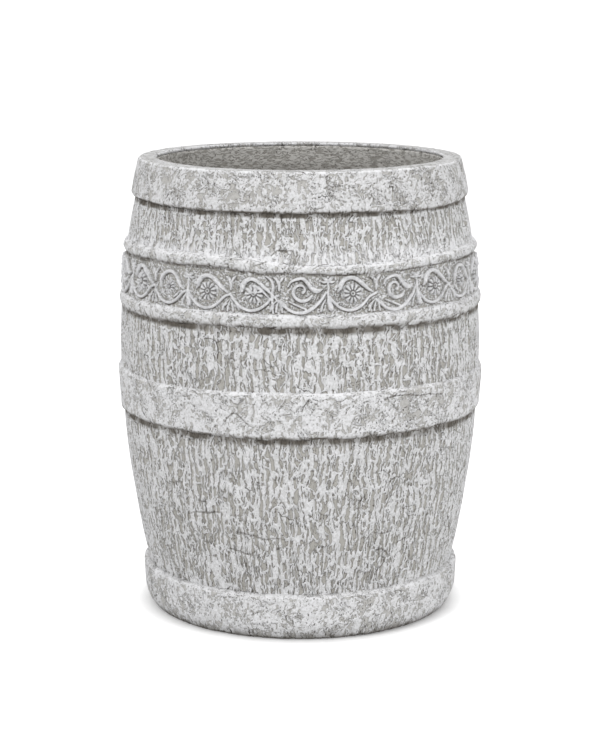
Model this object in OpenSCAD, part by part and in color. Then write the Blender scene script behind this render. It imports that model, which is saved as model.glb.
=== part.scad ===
/* [Barrel] */
// Height over all
height = 520; // [490:1:560]
// Largest radius of the plain wall
belly_r = 207; // [195:1:220]
// Height of the widest point above the ground
belly_z = 306; // [298:1:314]
// Radius of the wall's curve above the widest point
upper_curve = 760; // [700:10:900]
// Radius of the wall's curve below the widest point
lower_curve = 1100; // [1000:10:1300]
// Thickness of the cast wall
wall = 22; // [16:1:26]

/* [Bark] */
// Ribs of the bark-like wall, counted round the barrel
bark_ribs = 33; // [30:1:36]
// Depth of the furrows between the ribs
bark_deep = 1.2; // [0.8:0.1:1.6]
// How far a rib wanders to either side, as a share of the ribs' spacing
bark_wander = 0.2; // [0.1:0.05:0.25]
// Length of wall over which a rib wanders once to each side
bark_wave = 110; // [90:5:140]

/* [Rim] */
// Height of the rim collar
rim_h = 46; // [38:1:54]
// Radius of the mouth at the top
mouth_r = 162.5; // [158:0.5:166]
// Width of the rim's top, from the mouth to its outer edge
rim_w = 22.5; // [19:0.5:26]
// How far the rim's lower edge overhangs the wall
rim_lap = 4.8; // [3:0.2:7]
// Crown of the rim's sloping face
rim_crown = 0.8; // [0.2:0.1:1.6]
// Radius on the rim's top edges
rim_edge = 2.6; // [1:0.2:4]

/* [Hoops and frieze] */
// Height of the lower hoop's bottom edge above the ground
lower_hoop_z = 352; // [344:1:358]
// Height of the lower hoop
lower_hoop_h = 16; // [12:1:20]
// How far the lower hoop stands proud
lower_hoop_proud = 4; // [2:0.5:6]
// Clear height of the frieze between the hoops
frieze_h = 42; // [42:1:48]
// Height of the upper hoop
upper_hoop_h = 20; // [14:1:22]
// How far the upper hoop stands proud
upper_hoop_proud = 5; // [3:0.5:7]

/* [Frieze relief] */
// Turn of the first motif from the front, in degrees
frieze_turn = -59; // [-180:1:180]
// Radius of a rosette
rosette_r = 11; // [9:0.5:12]
// Petals of a rosette
petals = 10; // [8:1:12]
// Radius of the small flower between leaves
flower_r = 7.5; // [6:0.5:8.5]
// Height of the rosettes above the ground of the frieze
rosette_proud = 3; // [2:0.2:4]
// Thickness of the vine's stem
stem_w = 4; // [3:0.5:5]
// Height of the vine above the ground of the frieze
stem_proud = 2.2; // [1.4:0.2:3]
// Width of the leaves that curl over the rosettes
leaf_w = 7; // [5:0.5:8]
// Height of those leaves above the ground of the frieze
leaf_proud = 2.8; // [2:0.2:4]
// Radius of a volute at its outer turn
volute_r = 12; // [10:0.5:13]
// Turns of a volute
volute_turns = 1.5; // [1.25:0.25:1.75]
// Margin between the carving and the hoops
carve_margin = 1; // [0.6:0.1:1.4]
// Gap left between one carved piece of the frieze and the next
carve_gap = 0.6; // [0.4:0.1:1]
// Seat between the relief and the wall's curve
relief_seat = 0.1; // [0.1:0.05:0.2]

/* [Belly band] */
// Height of the band's bottom edge above the ground
band_z = 232; // [222:1:240]
// Height of the band
band_h = 55; // [45:1:62]
// How far the band stands proud
band_proud = 4.2; // [3:0.2:6]
// Radius on the band's edges
band_edge = 7; // [3:0.5:9]

/* [Foot] */
// Height of the foot band
foot_h = 62; // [54:1:70]
// How far the foot's upper edge stands proud of the wall
foot_proud = 5; // [3:0.5:7]
// Radius on the foot's upper edge
foot_edge = 4.5; // [2:0.5:6]
// Height at which the foot starts to tuck in
tuck_z = 28; // [22:1:34]
// Radius of the tuck below that height
tuck_r = 40; // [38:1:60]
// How far the foot's face draws in from its upper edge to the tuck
foot_draft = 1.2; // [0:0.2:2]
// Chamfer where the foot meets the ground
foot_chamfer = 3; // [1:0.5:5]

/* [Floor and drain] */
// Height of the floor's underside above the ground
recess = 12; // [8:1:18]
// Thickness of the floor
floor_t = 28; // [20:1:32]
// Radius of the cove between floor and wall
cove_r = 10; // [4:1:10]
// Diameter of the drain hole
drain_d = 26; // [18:1:34]
// Clearance round the plug and under its head
plug_clear = 0.3; // [0.3:0.05:0.6]
// Width of the plug's head beyond the drain hole
plug_lip = 7; // [4:0.5:10]
// Thickness of the plug's head
plug_head = 5; // [4:0.5:8]
// Depth of the grooves between the plug's sealing ribs
plug_groove = 1.2; // [0.6:0.1:2]
// Number of sealing ribs on the plug
plug_ribs = 3; // [2:1:4]
// Length of the plug's shank below the floor
plug_tail = 3; // [1:0.5:5]

/* [Hidden] */
$fn = 96;

concrete = [0.76, 0.75, 0.73];
pale_wash = [0.87, 0.87, 0.88];
rubber = [0.16, 0.16, 0.16];

rim_z = height - rim_h;
frieze_z = lower_hoop_z + lower_hoop_h;
upper_hoop_z = frieze_z + frieze_h;
frieze_mid = frieze_z + frieze_h / 2;
floor_z = recess + floor_t;
drain_r = drain_d / 2;

// Points along a curve: the spacing that keeps the barrel's outline smooth
step_z = 14;
arc_steps = 7;

// Outer radius of the plain wall at a height: two arcs that meet at the belly
function wall_r(z) =
    let (curve = z > belly_z ? upper_curve : lower_curve)
    belly_r - curve + sqrt(curve * curve - (z - belly_z) * (z - belly_z));

// Heights from one edge to another, with both ends
function heights(z0, z1) =
    let (n = max(1, ceil((z1 - z0) / step_z)))
    [for (i = [0:n]) z0 + (z1 - z0) * i / n];

// The wall's own outline between two heights, moved inwards by a depth
function wall_line(z0, z1, depth = 0) = [for (z = heights(z0, z1)) [wall_r(z) - depth, z]];

function backwards(points) = [for (i = [len(points) - 1:-1:0]) points[i]];

// Points of an arc round a centre
function arc(centre, r, from, to) =
    [for (i = [0:arc_steps])
        let (a = from + (to - from) * i / arc_steps)
        centre + r * [cos(a), sin(a)]];

// Profile of a half-round hoop: a segment of a circle standing on the wall
function hoop_profile(z0, h, proud) =
    let (low = [wall_r(z0), z0],
         high = [wall_r(z0 + h), z0 + h],
         chord = norm(high - low),
         r = (chord * chord / 4 + proud * proud) / (2 * proud),
         along = (high - low) / chord,
         out = [along.y, -along.x],
         centre = (low + high) / 2 + out * (proud - r),
         half = asin(chord / 2 / r),
         lean = atan2(out.y, out.x))
    concat([low], arc(centre, r, lean - half, lean + half), [high]);

// The frieze's ground is the cone between the two hoops
frieze_low_r = wall_r(frieze_z);
frieze_slope = (wall_r(upper_hoop_z) - frieze_low_r) / frieze_h;
frieze_r = wall_r(frieze_mid);

// How far the leaves reach above and below the middle of the frieze
leaf_reach = frieze_h / 2 - carve_margin;

// The order of the motifs round the band: R rosette under a leaf, Q rosette between two
// leaves, S volute, F small flower in a spray of leaves
motifs = "RFRQSRSRFRQSRSRFRQSRSRQS";
pitch = 360 / len(motifs);
pitch_s = frieze_r * PI / 180 * pitch;
function motif_az(i) = frieze_turn + pitch * i;

// Point of the relief: s along the band from the motif's centre, v above the middle of the
// frieze, h above its ground
function frieze_point(az, s, v, h) =
    let (r = frieze_low_r + frieze_slope * (v + frieze_h / 2) + relief_seat + h,
         a = az + s / frieze_r * 180 / PI)
    [r * sin(a), -r * cos(a), frieze_mid + v];

// Half-round sprig along a path of [s, v, width, height]
sprig_section = [[-1, 0], [-0.6, 0.85], [0.6, 0.85], [1, 0]];
module sprig(az, path) {
    n = len(path);
    m = len(sprig_section);
    points = [for (i = [0:n - 1])
        let (before = path[max(i - 1, 0)],
             after = path[min(i + 1, n - 1)],
             run = [after.x - before.x, after.y - before.y],
             d = run / norm(run),
             p = path[i])
        for (q = sprig_section)
            frieze_point(az, p.x - d.y * q.x * p[2] / 2, p.y + d.x * q.x * p[2] / 2, q.y * p[3])];
    sides = [for (i = [0:n - 2]) for (j = [0:m - 1])
        let (k = (j + 1) % m, a = i * m + j, b = i * m + k, c = a + m, e = b + m)
        each [[a, b, e], [a, e, c]]];
    first = [for (j = [m - 1:-1:0]) j];
    last = [for (j = [0:m - 1]) (n - 1) * m + j];
    polyhedron(points, concat(sides, [first], [last]));
}

// Leaf that swells and comes to a point, along an arc round a centre
leaf_rings = 8;
function curl(centre, r, from, to, w, h) =
    [for (i = [0:leaf_rings])
        let (t = i / leaf_rings,
             a = from + (to - from) * t,
             swell = 0.22 + 0.78 * sin(180 * pow(t, 0.8)))
        [centre.x + r * cos(a), centre.y + r * sin(a), w * swell, h * (0.6 + 0.4 * swell)]];

// Small leaf between two points of the band
function leaf(from, to, w, h) =
    [for (t = [0, 0.35, 0.7, 1])
        let (swell = 0.3 + 0.7 * sin(180 * pow(t, 0.7)))
        [from.x + (to.x - from.x) * t, from.y + (to.y - from.y) * t, w * swell, h * (0.5 + 0.5 * swell)]];

// Volute: a stem that winds in, thinning as it goes
volute_rings = 18;
function volute(start, side) =
    [for (i = [0:volute_rings])
        let (t = i / volute_rings,
             r = volute_r - (volute_r - stem_w * 0.8) * t,
             a = start + side * 360 * volute_turns * t)
        [r * cos(a), r * sin(a), stem_w * (1 - 0.35 * t), stem_proud * (1 + 0.25 * t)]];

// The vine runs under each motif and rises to a crest at the joints
vine_rings = 8;
vine_low = 1.5 * stem_w - frieze_h / 2;
vine_rise = 0.62 * frieze_h;
function vine() =
    [for (i = [0:vine_rings])
        let (t = 2 * i / vine_rings - 1)
        [t * pitch_s / 2, vine_low + vine_rise * pow(abs(t), 2.4), stem_w, stem_proud]];

// Round bead standing on the frieze
module bead(az, s, v, r, h) {
    turn = az + s / frieze_r * 180 / PI;
    ground = frieze_low_r + frieze_slope * (v + frieze_h / 2) + relief_seat;
    translate([ground * sin(turn), -ground * cos(turn), frieze_mid + v])
        rotate([0, 0, turn]) rotate([90 - atan(-frieze_slope), 0, 0])
            hull() {
                cylinder(r = r, h = h * 0.35, $fn = 8);
                cylinder(r = r * 0.45, h = h, $fn = 8);
            }
}

// Rosette: a button in a ring of cupped petals
module rosette(az, size) {
    n = petals * 2;
    rings = [[0.22, 0.85, 0.85], [0.34, 0.4, 0.35], [0.74, 0.75, 0.32], [1, 0, 0]];
    m = len(rings);
    points = concat(
        [frieze_point(az, 0, 0, rosette_proud), frieze_point(az, 0, 0, 0)],
        [for (k = [0:m - 1]) for (i = [0:n - 1])
            let (tip = i % 2 == 0,
                 r = size * rings[k][0] * (k == m - 1 && !tip ? 0.9 : 1),
                 a = 360 * i / n)
            frieze_point(az, r * cos(a), r * sin(a), rosette_proud * rings[k][tip ? 1 : 2])]);
    faces = [for (i = [0:n - 1])
        let (j = (i + 1) % n)
        each concat(
            [[0, 2 + j, 2 + i], [1, 2 + (m - 1) * n + i, 2 + (m - 1) * n + j]],
            [for (k = [0:m - 2]) each
                let (a = 2 + k * n + i, b = 2 + k * n + j, c = a + n, d = b + n)
                [[a, b, d], [a, d, c]]])];
    polyhedron(points, faces);
}

leaf_ring_r = rosette_r + leaf_w / 2 + carve_gap;
module motif_leaves(kind, az) {
    sprig(az, vine());
    if (kind == "R" || kind == "Q")
        sprig(az, curl([0, 0], leaf_ring_r, 196, 12, leaf_w, leaf_proud));
    if (kind == "Q")
        sprig(az, curl([0, 0], leaf_ring_r, 205, 325, leaf_w * 0.8, leaf_proud));
    if (kind == "S") {
        sprig(az, volute(200, -1));
        sprig(az, curl([0, -carve_margin], leaf_ring_r, 150, 15, leaf_w * 0.8, leaf_proud));
        bead(az, 0, 0, stem_w * 0.75, leaf_proud);
    }
    if (kind == "F")
        for (a = [10, 55, 125, 170])
            let (out = [cos(a), sin(a)])
            sprig(az, leaf(out * (flower_r + carve_gap * 2), out * (leaf_reach - carve_margin), leaf_w, leaf_proud));
}

// A bud over a bell flower where two stretches of vine cross
tie_start = 1.5 * stem_w;
tie_spread = 2 * stem_w;
bud_r = 0.6 * stem_w;
module tie(az) {
    for (side = [-1, 1])
        sprig(az, leaf([0, -tie_spread], [side * tie_spread, carve_margin - leaf_reach], leaf_w * 0.8, leaf_proud));
    sprig(az, leaf([0, -tie_start], [0, -leaf_reach], leaf_w, leaf_proud));
    sprig(az, leaf([0, tie_start], [0, leaf_reach], leaf_w, leaf_proud));
    for (side = [-1, 1])
        bead(az, side * leaf_w, leaf_reach - bud_r - carve_gap, bud_r, stem_proud);
}

module spun(points) {
    rotate_extrude() polygon(points);
}

// Length of the barrel's shell between two heights, with its own outer profile
module shell(outer, z0, z1) {
    spun(concat(outer, backwards(wall_line(z0, z1, wall))));
}

// What the shell goes round between two heights, open at both ends
module cavity(z0, z1) {
    inner = wall_line(z0, z1, wall);
    spun(concat([[0, z0 - 1], inner[0] - [0, 1]], inner, [inner[len(inner) - 1] + [0, 1], [0, z1 + 1]]));
}

// Azimuth of a bark rib at a height; each rib wanders at its own phase
function rib_az(k, z) =
    360 / bark_ribs * (k + bark_wander * sin(360 * z / bark_wave + 137.5 * (k % bark_ribs)));

// Depth of the furrow beside a rib, which deepens and shoals along its length
function furrow(k, z) = bark_deep * (0.7 + 0.3 * sin(480 * z / bark_wave + 222.5 * k));

// Solid barrel between two heights, with the bark's main ribs and furrows on its face
bark_row = 30;
bark_sink = 0.1;
bark_lap = 2;
module bark_core(z0, z1) {
    rows = ceil((z1 - z0) / bark_row);
    n = 2 * bark_ribs;
    points = [for (i = [0:rows]) for (j = [0:n - 1])
        let (z = z0 + (z1 - z0) * i / rows,
             k = floor(j / 2),
             rib = j % 2 == 0,
             a = rib ? rib_az(k, z) : (rib_az(k, z) + rib_az(k + 1, z)) / 2,
             r = wall_r(z) - bark_sink - (rib ? 0 : furrow(k, z)))
        [r * sin(a), -r * cos(a), z]];
    sides = [for (i = [0:rows - 1]) for (j = [0:n - 1])
        let (k = (j + 1) % n, a = i * n + j, b = i * n + k, c = a + n, d = b + n)
        each [[a, d, b], [a, c, d]]];
    low = [for (j = [0:n - 1]) j];
    high = [for (j = [n - 1:-1:0]) rows * n + j];
    polyhedron(points, concat(sides, [low], [high]));
}

// Length of the shell with bark on its outside
module bark_shell(z0, z1) {
    difference() {
        bark_core(z0, z1);
        cavity(z0, z1);
    }
}

// Top collar of the casting, battered outwards, with a rounded lower edge over the wall
module rim_collar() {
    rim_top_r = mouth_r + rim_w;
    low = [wall_r(rim_z), rim_z];
    foot = low + [rim_lap, rim_lap];
    head = [rim_top_r, height - rim_edge];
    mid = (foot + head) / 2 + [rim_crown, 0];
    color(pale_wash) spun(concat(
        [low - [wall, 0]],
        arc(low + [0, rim_lap], rim_lap, -90, 0),
        [mid],
        arc([rim_top_r - rim_edge, height - rim_edge], rim_edge, 0, 90),
        [[mouth_r + rim_edge / 2, height], [mouth_r, height - rim_edge / 2]]));
}

module upper_hoop() {
    color(pale_wash) spun(hoop_profile(upper_hoop_z, upper_hoop_h, upper_hoop_proud));
}

module lower_hoop() {
    color(pale_wash) spun(hoop_profile(lower_hoop_z, lower_hoop_h, lower_hoop_proud));
}

// Vine, leaves, volutes, buds and bell flowers of the frieze
module frieze_vine() {
    color(pale_wash) for (i = [0:len(motifs) - 1]) {
        motif_leaves(motifs[i], motif_az(i));
        if (motifs[i] == "R") tie(motif_az(i) - pitch / 2);
    }
}

module frieze_rosettes() {
    color(pale_wash) for (i = [0:len(motifs) - 1])
        if (motifs[i] != "S") rosette(motif_az(i), motifs[i] == "F" ? flower_r : rosette_r);
}

// Shell from the lower hoop to the rim; its outside runs straight under each hoop and the frieze
module upper_wall() {
    bare_z = upper_hoop_z + upper_hoop_h;
    under = [for (z = [lower_hoop_z, frieze_z, upper_hoop_z, bare_z]) [wall_r(z), z]];
    color(concrete) difference() {
        union() {
            spun(concat([[0, lower_hoop_z]], under, [[0, bare_z]]));
            bark_core(bare_z - bark_lap, rim_z);
        }
        cavity(lower_hoop_z, rim_z);
    }
}

// Shell between the belly band and the lower hoop
module middle_wall() {
    color(concrete) bark_shell(band_z + band_h, lower_hoop_z);
}

// Shell between the foot and the belly band
module lower_wall() {
    color(concrete) bark_shell(foot_h, band_z);
}

// Flat band round the belly with pillowed edges, as deep as the shell is thick
module belly_band() {
    low = [wall_r(band_z), band_z];
    high = [wall_r(band_z + band_h), band_z + band_h];
    face_low = low.x + band_proud;
    face_high = high.x + band_proud;
    reach = acos(max(0, 1 - band_proud / band_edge));
    rise = band_edge * sin(reach);
    color(pale_wash) shell(concat(
        arc([face_low - band_edge, band_z + rise], band_edge, -reach, 0),
        arc([face_high - band_edge, band_z + band_h - rise], band_edge, 0, reach)),
        band_z, band_z + band_h);
}

// Foot of the casting: rounded shoulder, a slight draft and a tuck down to the ground
module foot_ring() {
    shoulder = wall_r(foot_h) + foot_proud;
    tuck_face = shoulder - foot_draft;
    tuck_centre = [tuck_face - tuck_r, tuck_z];
    tuck_low = asin((foot_chamfer - tuck_z) / tuck_r);
    tuck = arc(tuck_centre, tuck_r, tuck_low, 0);
    bore = wall_r(foot_h) - wall;
    color(pale_wash) spun(concat(
        [[bore, 0], [tuck[0].x - foot_chamfer, 0]],
        tuck,
        arc([shoulder - foot_edge, foot_h - foot_edge], foot_edge, 0, 90),
        [[bore, foot_h]]));
}

// Floor inside the foot, with a cove round its edge and the drain hole through it
module floor_slab() {
    edge = wall_r(foot_h) - wall;
    color(concrete) difference() {
        spun(concat(
            [[0, recess], [edge, recess], [edge, floor_z + cove_r]],
            arc([edge - cove_r, floor_z + cove_r], cove_r, 0, -90),
            [[0, floor_z]]));
        translate([0, 0, recess - 1]) cylinder(r = drain_r, h = floor_t + 2);
    }
}

// Rubber stopper with a domed head and sealing ribs, seated in the drain hole
module drain_plug() {
    head_r = drain_r + plug_lip;
    rib_r = drain_r - plug_clear;
    core_r = rib_r - plug_groove;
    seat_z = floor_z + plug_clear;
    tail_z = recess - plug_tail;
    rib_pitch = floor_t / plug_ribs;
    rib_h = rib_pitch * 0.5;
    dome = plug_head / 2;
    color(rubber) spun(concat(
        [[0, tail_z], [core_r - plug_groove, tail_z], [core_r, tail_z + plug_groove]],
        [for (i = [0:plug_ribs - 1]) each
            let (z = recess + rib_pitch * (i + 0.25))
            [[core_r, z], [rib_r, z + plug_groove], [rib_r, z + rib_h - plug_groove], [core_r, z + rib_h]]],
        [[core_r, seat_z], [head_r, seat_z]],
        arc([head_r - dome, seat_z + plug_head - dome], dome, 0, 90),
        [[0, seat_z + plug_head]]));
}

rim_collar();
upper_wall();
upper_hoop();
frieze_vine();
frieze_rosettes();
lower_hoop();
middle_wall();
belly_band();
lower_wall();
foot_ring();
floor_slab();
drain_plug();
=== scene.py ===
"""Finish of a hand-cast concrete barrel planter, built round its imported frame."""

import math

import bpy
import numpy as np
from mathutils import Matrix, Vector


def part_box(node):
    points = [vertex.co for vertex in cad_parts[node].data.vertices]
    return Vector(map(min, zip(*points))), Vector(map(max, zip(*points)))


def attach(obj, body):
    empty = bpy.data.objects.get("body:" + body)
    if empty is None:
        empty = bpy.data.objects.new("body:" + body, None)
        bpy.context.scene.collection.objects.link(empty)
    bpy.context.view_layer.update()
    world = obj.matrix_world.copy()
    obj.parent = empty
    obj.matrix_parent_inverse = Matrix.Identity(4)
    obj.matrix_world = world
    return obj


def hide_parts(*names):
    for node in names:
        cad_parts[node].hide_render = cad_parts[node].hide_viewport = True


bl_info = {
    "name": "Concrete Barrel Planter",
    "version": (1, 0, 0),
    "blender": (4, 5, 0),
    "location": "View3D > Sidebar > Planter",
    "description": "Builds a cast concrete barrel planter with a dry-brushed white wash",
    "category": "Object",
}

MM = 0.001
# Spacing of the points along an outline before it is worn
FINE_STEP = 0.25 * MM
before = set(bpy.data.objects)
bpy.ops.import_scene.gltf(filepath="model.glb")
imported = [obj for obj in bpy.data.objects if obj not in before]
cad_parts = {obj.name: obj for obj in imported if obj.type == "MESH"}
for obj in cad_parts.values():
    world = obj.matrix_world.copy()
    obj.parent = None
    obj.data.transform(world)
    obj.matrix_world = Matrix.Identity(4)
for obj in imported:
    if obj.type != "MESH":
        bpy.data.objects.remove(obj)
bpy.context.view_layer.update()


def linear(colour):
    """Linear RGB of an sRGB hex colour."""
    channels = [int(colour[i : i + 2], 16) / 255 for i in (0, 2, 4)]
    return tuple(c / 12.92 if c <= 0.04045 else ((c + 0.055) / 1.055) ** 2.4 for c in channels)


# What every setting of a colour shares
SWATCH = {"subtype": "COLOR", "size": 3, "min": 0, "max": 1}


class PlanterFinish(bpy.types.PropertyGroup):
    """Colours of the concrete and its wash."""

    wash: bpy.props.FloatVectorProperty(
        name="White wash", description="Dry-brushed wash on the high spots",
        default=linear("F1F1F3"), **SWATCH,
    )
    # Also the colour of a painted highlight on the brushed upper edges of the bands and the rim
    wash_thick_and_highlight: bpy.props.FloatVectorProperty(
        name="Thick wash", description="Wash on the edges that the brush catches",
        default=linear("F7F7F9"), **SWATCH,
    )
    wash_thin: bpy.props.FloatVectorProperty(
        name="Thin wash", description="Wash where it is rubbed thin",
        default=linear("D8D8D8"), **SWATCH,
    )
    ground: bpy.props.FloatVectorProperty(
        name="Concrete", description="Bare concrete in the recesses",
        default=linear("AFACA6"), **SWATCH,
    )
    ground_pale: bpy.props.FloatVectorProperty(
        name="Pale concrete", description="Paler clouds in the bare concrete",
        default=linear("C4C2BD"), **SWATCH,
    )
    # Also the colour of painted shade in creases, undercuts, under the bands and beside the carving
    grime_and_shade: bpy.props.FloatVectorProperty(
        name="Grime", description="Dirt in pits, cracks and undercuts",
        default=linear("6A655E"), **SWATCH,
    )
    inner: bpy.props.FloatVectorProperty(
        name="Inner wall", description="Unwashed concrete inside the pot",
        default=linear("D2D0CC"), **SWATCH,
    )
    inner_dark: bpy.props.FloatVectorProperty(
        name="Inner hollows", description="Damp hollows of the unwashed concrete",
        default=linear("A9A6A0"), **SWATCH,
    )
    rubber: bpy.props.FloatVectorProperty(
        name="Rubber", description="Moulded rubber of the drain plug",
        default=linear("26262A"), **SWATCH,
    )


class PlanterCasting(bpy.types.PropertyGroup):
    """Sizes of the cast texture."""

    bark_depth: bpy.props.FloatProperty(
        name="Bark depth", description="Depth of the hollows between the bark-like ridges of the walls",
        unit="LENGTH", min=0, default=1.0 * MM,
    )
    ribs: bpy.props.IntProperty(
        name="Bark ribs", description="Main ribs of the bark round the barrel", min=3, default=33,
    )
    rib_depth: bpy.props.FloatProperty(
        name="Furrow depth", description="Depth of the main furrows between the ribs",
        unit="LENGTH", min=0, default=1.2 * MM,
    )
    rib_wander: bpy.props.FloatProperty(
        name="Rib wander", description="How far a rib wanders, as a share of the ribs' spacing",
        min=0, max=0.25, default=0.2,
    )
    rib_wave: bpy.props.FloatProperty(
        name="Rib wave", description="Length of wall over which a rib wanders once to each side",
        unit="LENGTH", min=10 * MM, default=110 * MM,
    )
    bark_across: bpy.props.FloatProperty(
        name="Bark across", description="Typical size of the bark pattern round the barrel",
        unit="LENGTH", min=1 * MM, default=2.8 * MM,
    )
    bark_along: bpy.props.FloatProperty(
        name="Bark along", description="Typical size of the bark pattern up the barrel",
        unit="LENGTH", min=1 * MM, default=27 * MM,
    )
    plaster_depth: bpy.props.FloatProperty(
        name="Plaster depth", description="Depth of the worn patches in the plaster of the bands",
        unit="LENGTH", min=0, default=0.55 * MM,
    )
    plaster_patch: bpy.props.FloatProperty(
        name="Plaster patch", description="Typical size of those patches",
        unit="LENGTH", min=1 * MM, default=20 * MM,
    )
    waver: bpy.props.FloatProperty(
        name="Waver", description="How far a hoop or band edge strays from level",
        unit="LENGTH", min=0, default=1.2 * MM,
    )
    grain: bpy.props.FloatProperty(
        name="Mesh grain", description="Spacing of the mesh on the bands",
        unit="LENGTH", min=0.5 * MM, default=1.05 * MM,
    )
    bark_grain: bpy.props.FloatProperty(
        name="Bark mesh grain", description="Spacing of the mesh round the bark-like walls",
        unit="LENGTH", min=0.5 * MM, default=0.96 * MM,
    )
    skin: bpy.props.FloatProperty(
        name="Skin", description="Thickness of the outer pieces, in front of the inner wall",
        unit="LENGTH", min=2 * MM, default=8 * MM,
    )


class PlanterFrieze(bpy.types.PropertyGroup):
    """Sizes of the vine-scroll frieze."""

    turn: bpy.props.FloatProperty(
        name="Turn", description="Azimuth of the first motif from the front",
        subtype="ANGLE", default=math.radians(-59),
    )
    order: bpy.props.StringProperty(
        name="Order", description="R rosette, Q overlapped rosette, S volute, F small flower",
        default="RFRQSRSRFRQSRSRFRQSRSRQS",
    )
    relief: bpy.props.FloatProperty(
        name="Relief", description="Height of the leaves above the ground of the frieze",
        unit="LENGTH", min=0, default=3.6 * MM,
    )
    stroke: bpy.props.FloatProperty(
        name="Stroke width", description="Width of the carved stems, as a share of the drawn one",
        min=0.5, max=1.5, default=0.86,
    )
    lift: bpy.props.FloatProperty(
        name="Lift", description="How far the carving's middle lies above the middle between the hoops",
        unit="LENGTH", default=3 * MM,
    )
    rosette: bpy.props.FloatProperty(
        name="Rosette radius", description="Radius of a full rosette",
        unit="LENGTH", min=1 * MM, default=10.2 * MM,
    )
    grain: bpy.props.FloatProperty(
        name="Mesh grain", description="Spacing of the mesh on the carved frieze",
        unit="LENGTH", min=0.4 * MM, default=0.66 * MM,
    )


class PlanterStage(bpy.types.PropertyGroup):
    """Camera and light."""

    distance: bpy.props.FloatProperty(
        name="Camera distance", description="Level distance from the planter's axis to the camera",
        unit="LENGTH", default=2.432,
    )
    height: bpy.props.FloatProperty(
        name="Camera height", description="Height of the camera above the floor",
        unit="LENGTH", default=0.752,
    )
    pitch: bpy.props.FloatProperty(
        name="Camera pitch", description="How far the camera looks down",
        subtype="ANGLE", default=math.radians(11.33),
    )
    lens: bpy.props.FloatProperty(
        name="Lens", description="Focal length of the camera", unit="CAMERA", default=102.4,
    )


def add(tree, kind, inputs=(), **settings):
    """Adds one node with its settings and the values, links or nodes of its inputs.

    The inputs are a list, in the order of the node's sockets, or a dictionary by name or number."""
    node = tree.nodes.new(kind)
    for name, value in settings.items():
        setattr(node, name, value)
    for key, value in inputs.items() if isinstance(inputs, dict) else enumerate(inputs):
        if isinstance(value, bpy.types.Node):
            value = next(o for o in value.outputs if o.enabled)
        if isinstance(value, bpy.types.NodeSocket):
            tree.links.new(value, node.inputs[key])
        else:
            node.inputs[key].default_value = value
    return node


def in_scene(name, data):
    """A new object that holds this data, linked to the scene."""
    obj = bpy.data.objects.new(name, data)
    bpy.context.scene.collection.objects.link(obj)
    return obj


def keep(mesh, name, values, kind="FLOAT"):
    """Keeps an array on the points of a mesh, as an attribute."""
    field = "vector" if kind == "FLOAT_VECTOR" else "value"
    layer = mesh.attributes.new(name, kind, "POINT")
    layer.data.foreach_set(field, np.asarray(values, np.float32).ravel())


# Turned pieces: outlines read from the frame, resampled and spun


def respaced(loop, steps, count):
    """Closed loop resampled evenly to count points, where steps says how far its old ones are apart."""
    closed = np.vstack([loop, loop[:1]])
    at = np.r_[0, np.cumsum(steps)]
    want = np.linspace(0, at[-1], count, endpoint=False)
    return np.c_[np.interp(want, at, closed[:, 0]), np.interp(want, at, closed[:, 1])]


def densify(loop, step):
    """Closed loop with points every step."""
    lengths = np.hypot(*np.diff(np.vstack([loop, loop[:1]]), axis=0).T)
    return respaced(loop, lengths, int(np.cumsum(lengths)[-1] / step))


def outward(loop):
    """Unit normals of a counter-clockwise loop."""
    run = np.roll(loop, -1, axis=0) - np.roll(loop, 1, axis=0)
    return np.c_[run[:, 1], -run[:, 0]] / np.maximum(np.hypot(*run.T), 1e-9)[:, None]


def radii_and_heights(node):
    """Radius and height of each vertex of a CAD node."""
    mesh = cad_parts[node].data
    co = np.empty(len(mesh.vertices) * 3)
    mesh.vertices.foreach_get("co", co)
    x, y, z = co.reshape(-1, 3).T
    return np.hypot(x, y), z


def section(node):
    """Section (r, z) of a turned CAD node, counter-clockwise, with points every FINE_STEP."""
    rz = np.unique(np.round(np.column_stack(radii_and_heights(node)), 4), axis=0)
    middle = (rz.min(0) + rz.max(0)) / 2
    rz = rz[np.argsort(np.arctan2(rz[:, 1] - middle[1], rz[:, 0] - middle[0]))]
    return densify(rz, FINE_STEP)


def face_line(node):
    """Outer face of a turned node, from bottom to top."""
    loop = section(node)
    line = loop[outward(loop)[:, 0] > 0.05]
    return line[np.argsort(line[:, 1])]


def corners(node):
    """Corners (r, z) of a shell's inner and of its outer face, from bottom to top."""
    r, z = radii_and_heights(node)
    z = np.round(z, 4)
    ends = [z.min(), z.max()]
    middle = np.interp(z, ends, [(r[z == end].min() + r[z == end].max()) / 2 for end in ends])
    outer = r > middle
    inside = [(r[~outer & (z == h)].min(), h) for h in np.unique(z[~outer])]
    outside = [(r[outer & (z == h)].max(), h) for h in np.unique(z[outer])]
    return np.array(inside), np.array(outside)


def wall_face(node, low=0.0):
    """Outer face of a length of wall, a smooth curve along its ribs, from bottom to top."""
    _, rows = corners(node)
    rows = rows[rows[:, 1] > low]
    curve = np.polyfit(rows[:, 1], rows[:, 0], 2)
    z = np.arange(rows[0, 1], rows[-1, 1], FINE_STEP)
    return np.c_[np.polyval(curve, z), z]


def furrows(loop, theta, sizes):
    """Depth of the main furrows between the ribs of the bark, as in the CAD model."""
    k = np.arange(-1, sizes.ribs + 2)
    depth = np.empty((len(loop), len(theta)))
    for row, z in enumerate(loop[:, 1]):
        along = 2 * math.pi * z / sizes.rib_wave
        phase = math.radians(137.5) * (k % sizes.ribs)
        azimuth = 2 * math.pi / sizes.ribs * (k + sizes.rib_wander * np.sin(along + phase))
        at = np.interp(theta % (2 * math.pi), azimuth, k)
        rib = np.floor(at) % sizes.ribs
        deep = 0.7 + 0.3 * np.sin(along * 4 / 3 + math.radians(222.5) * rib)
        depth[row] = sizes.rib_depth * deep * np.sin(math.pi * at) ** 2
    return depth


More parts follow.
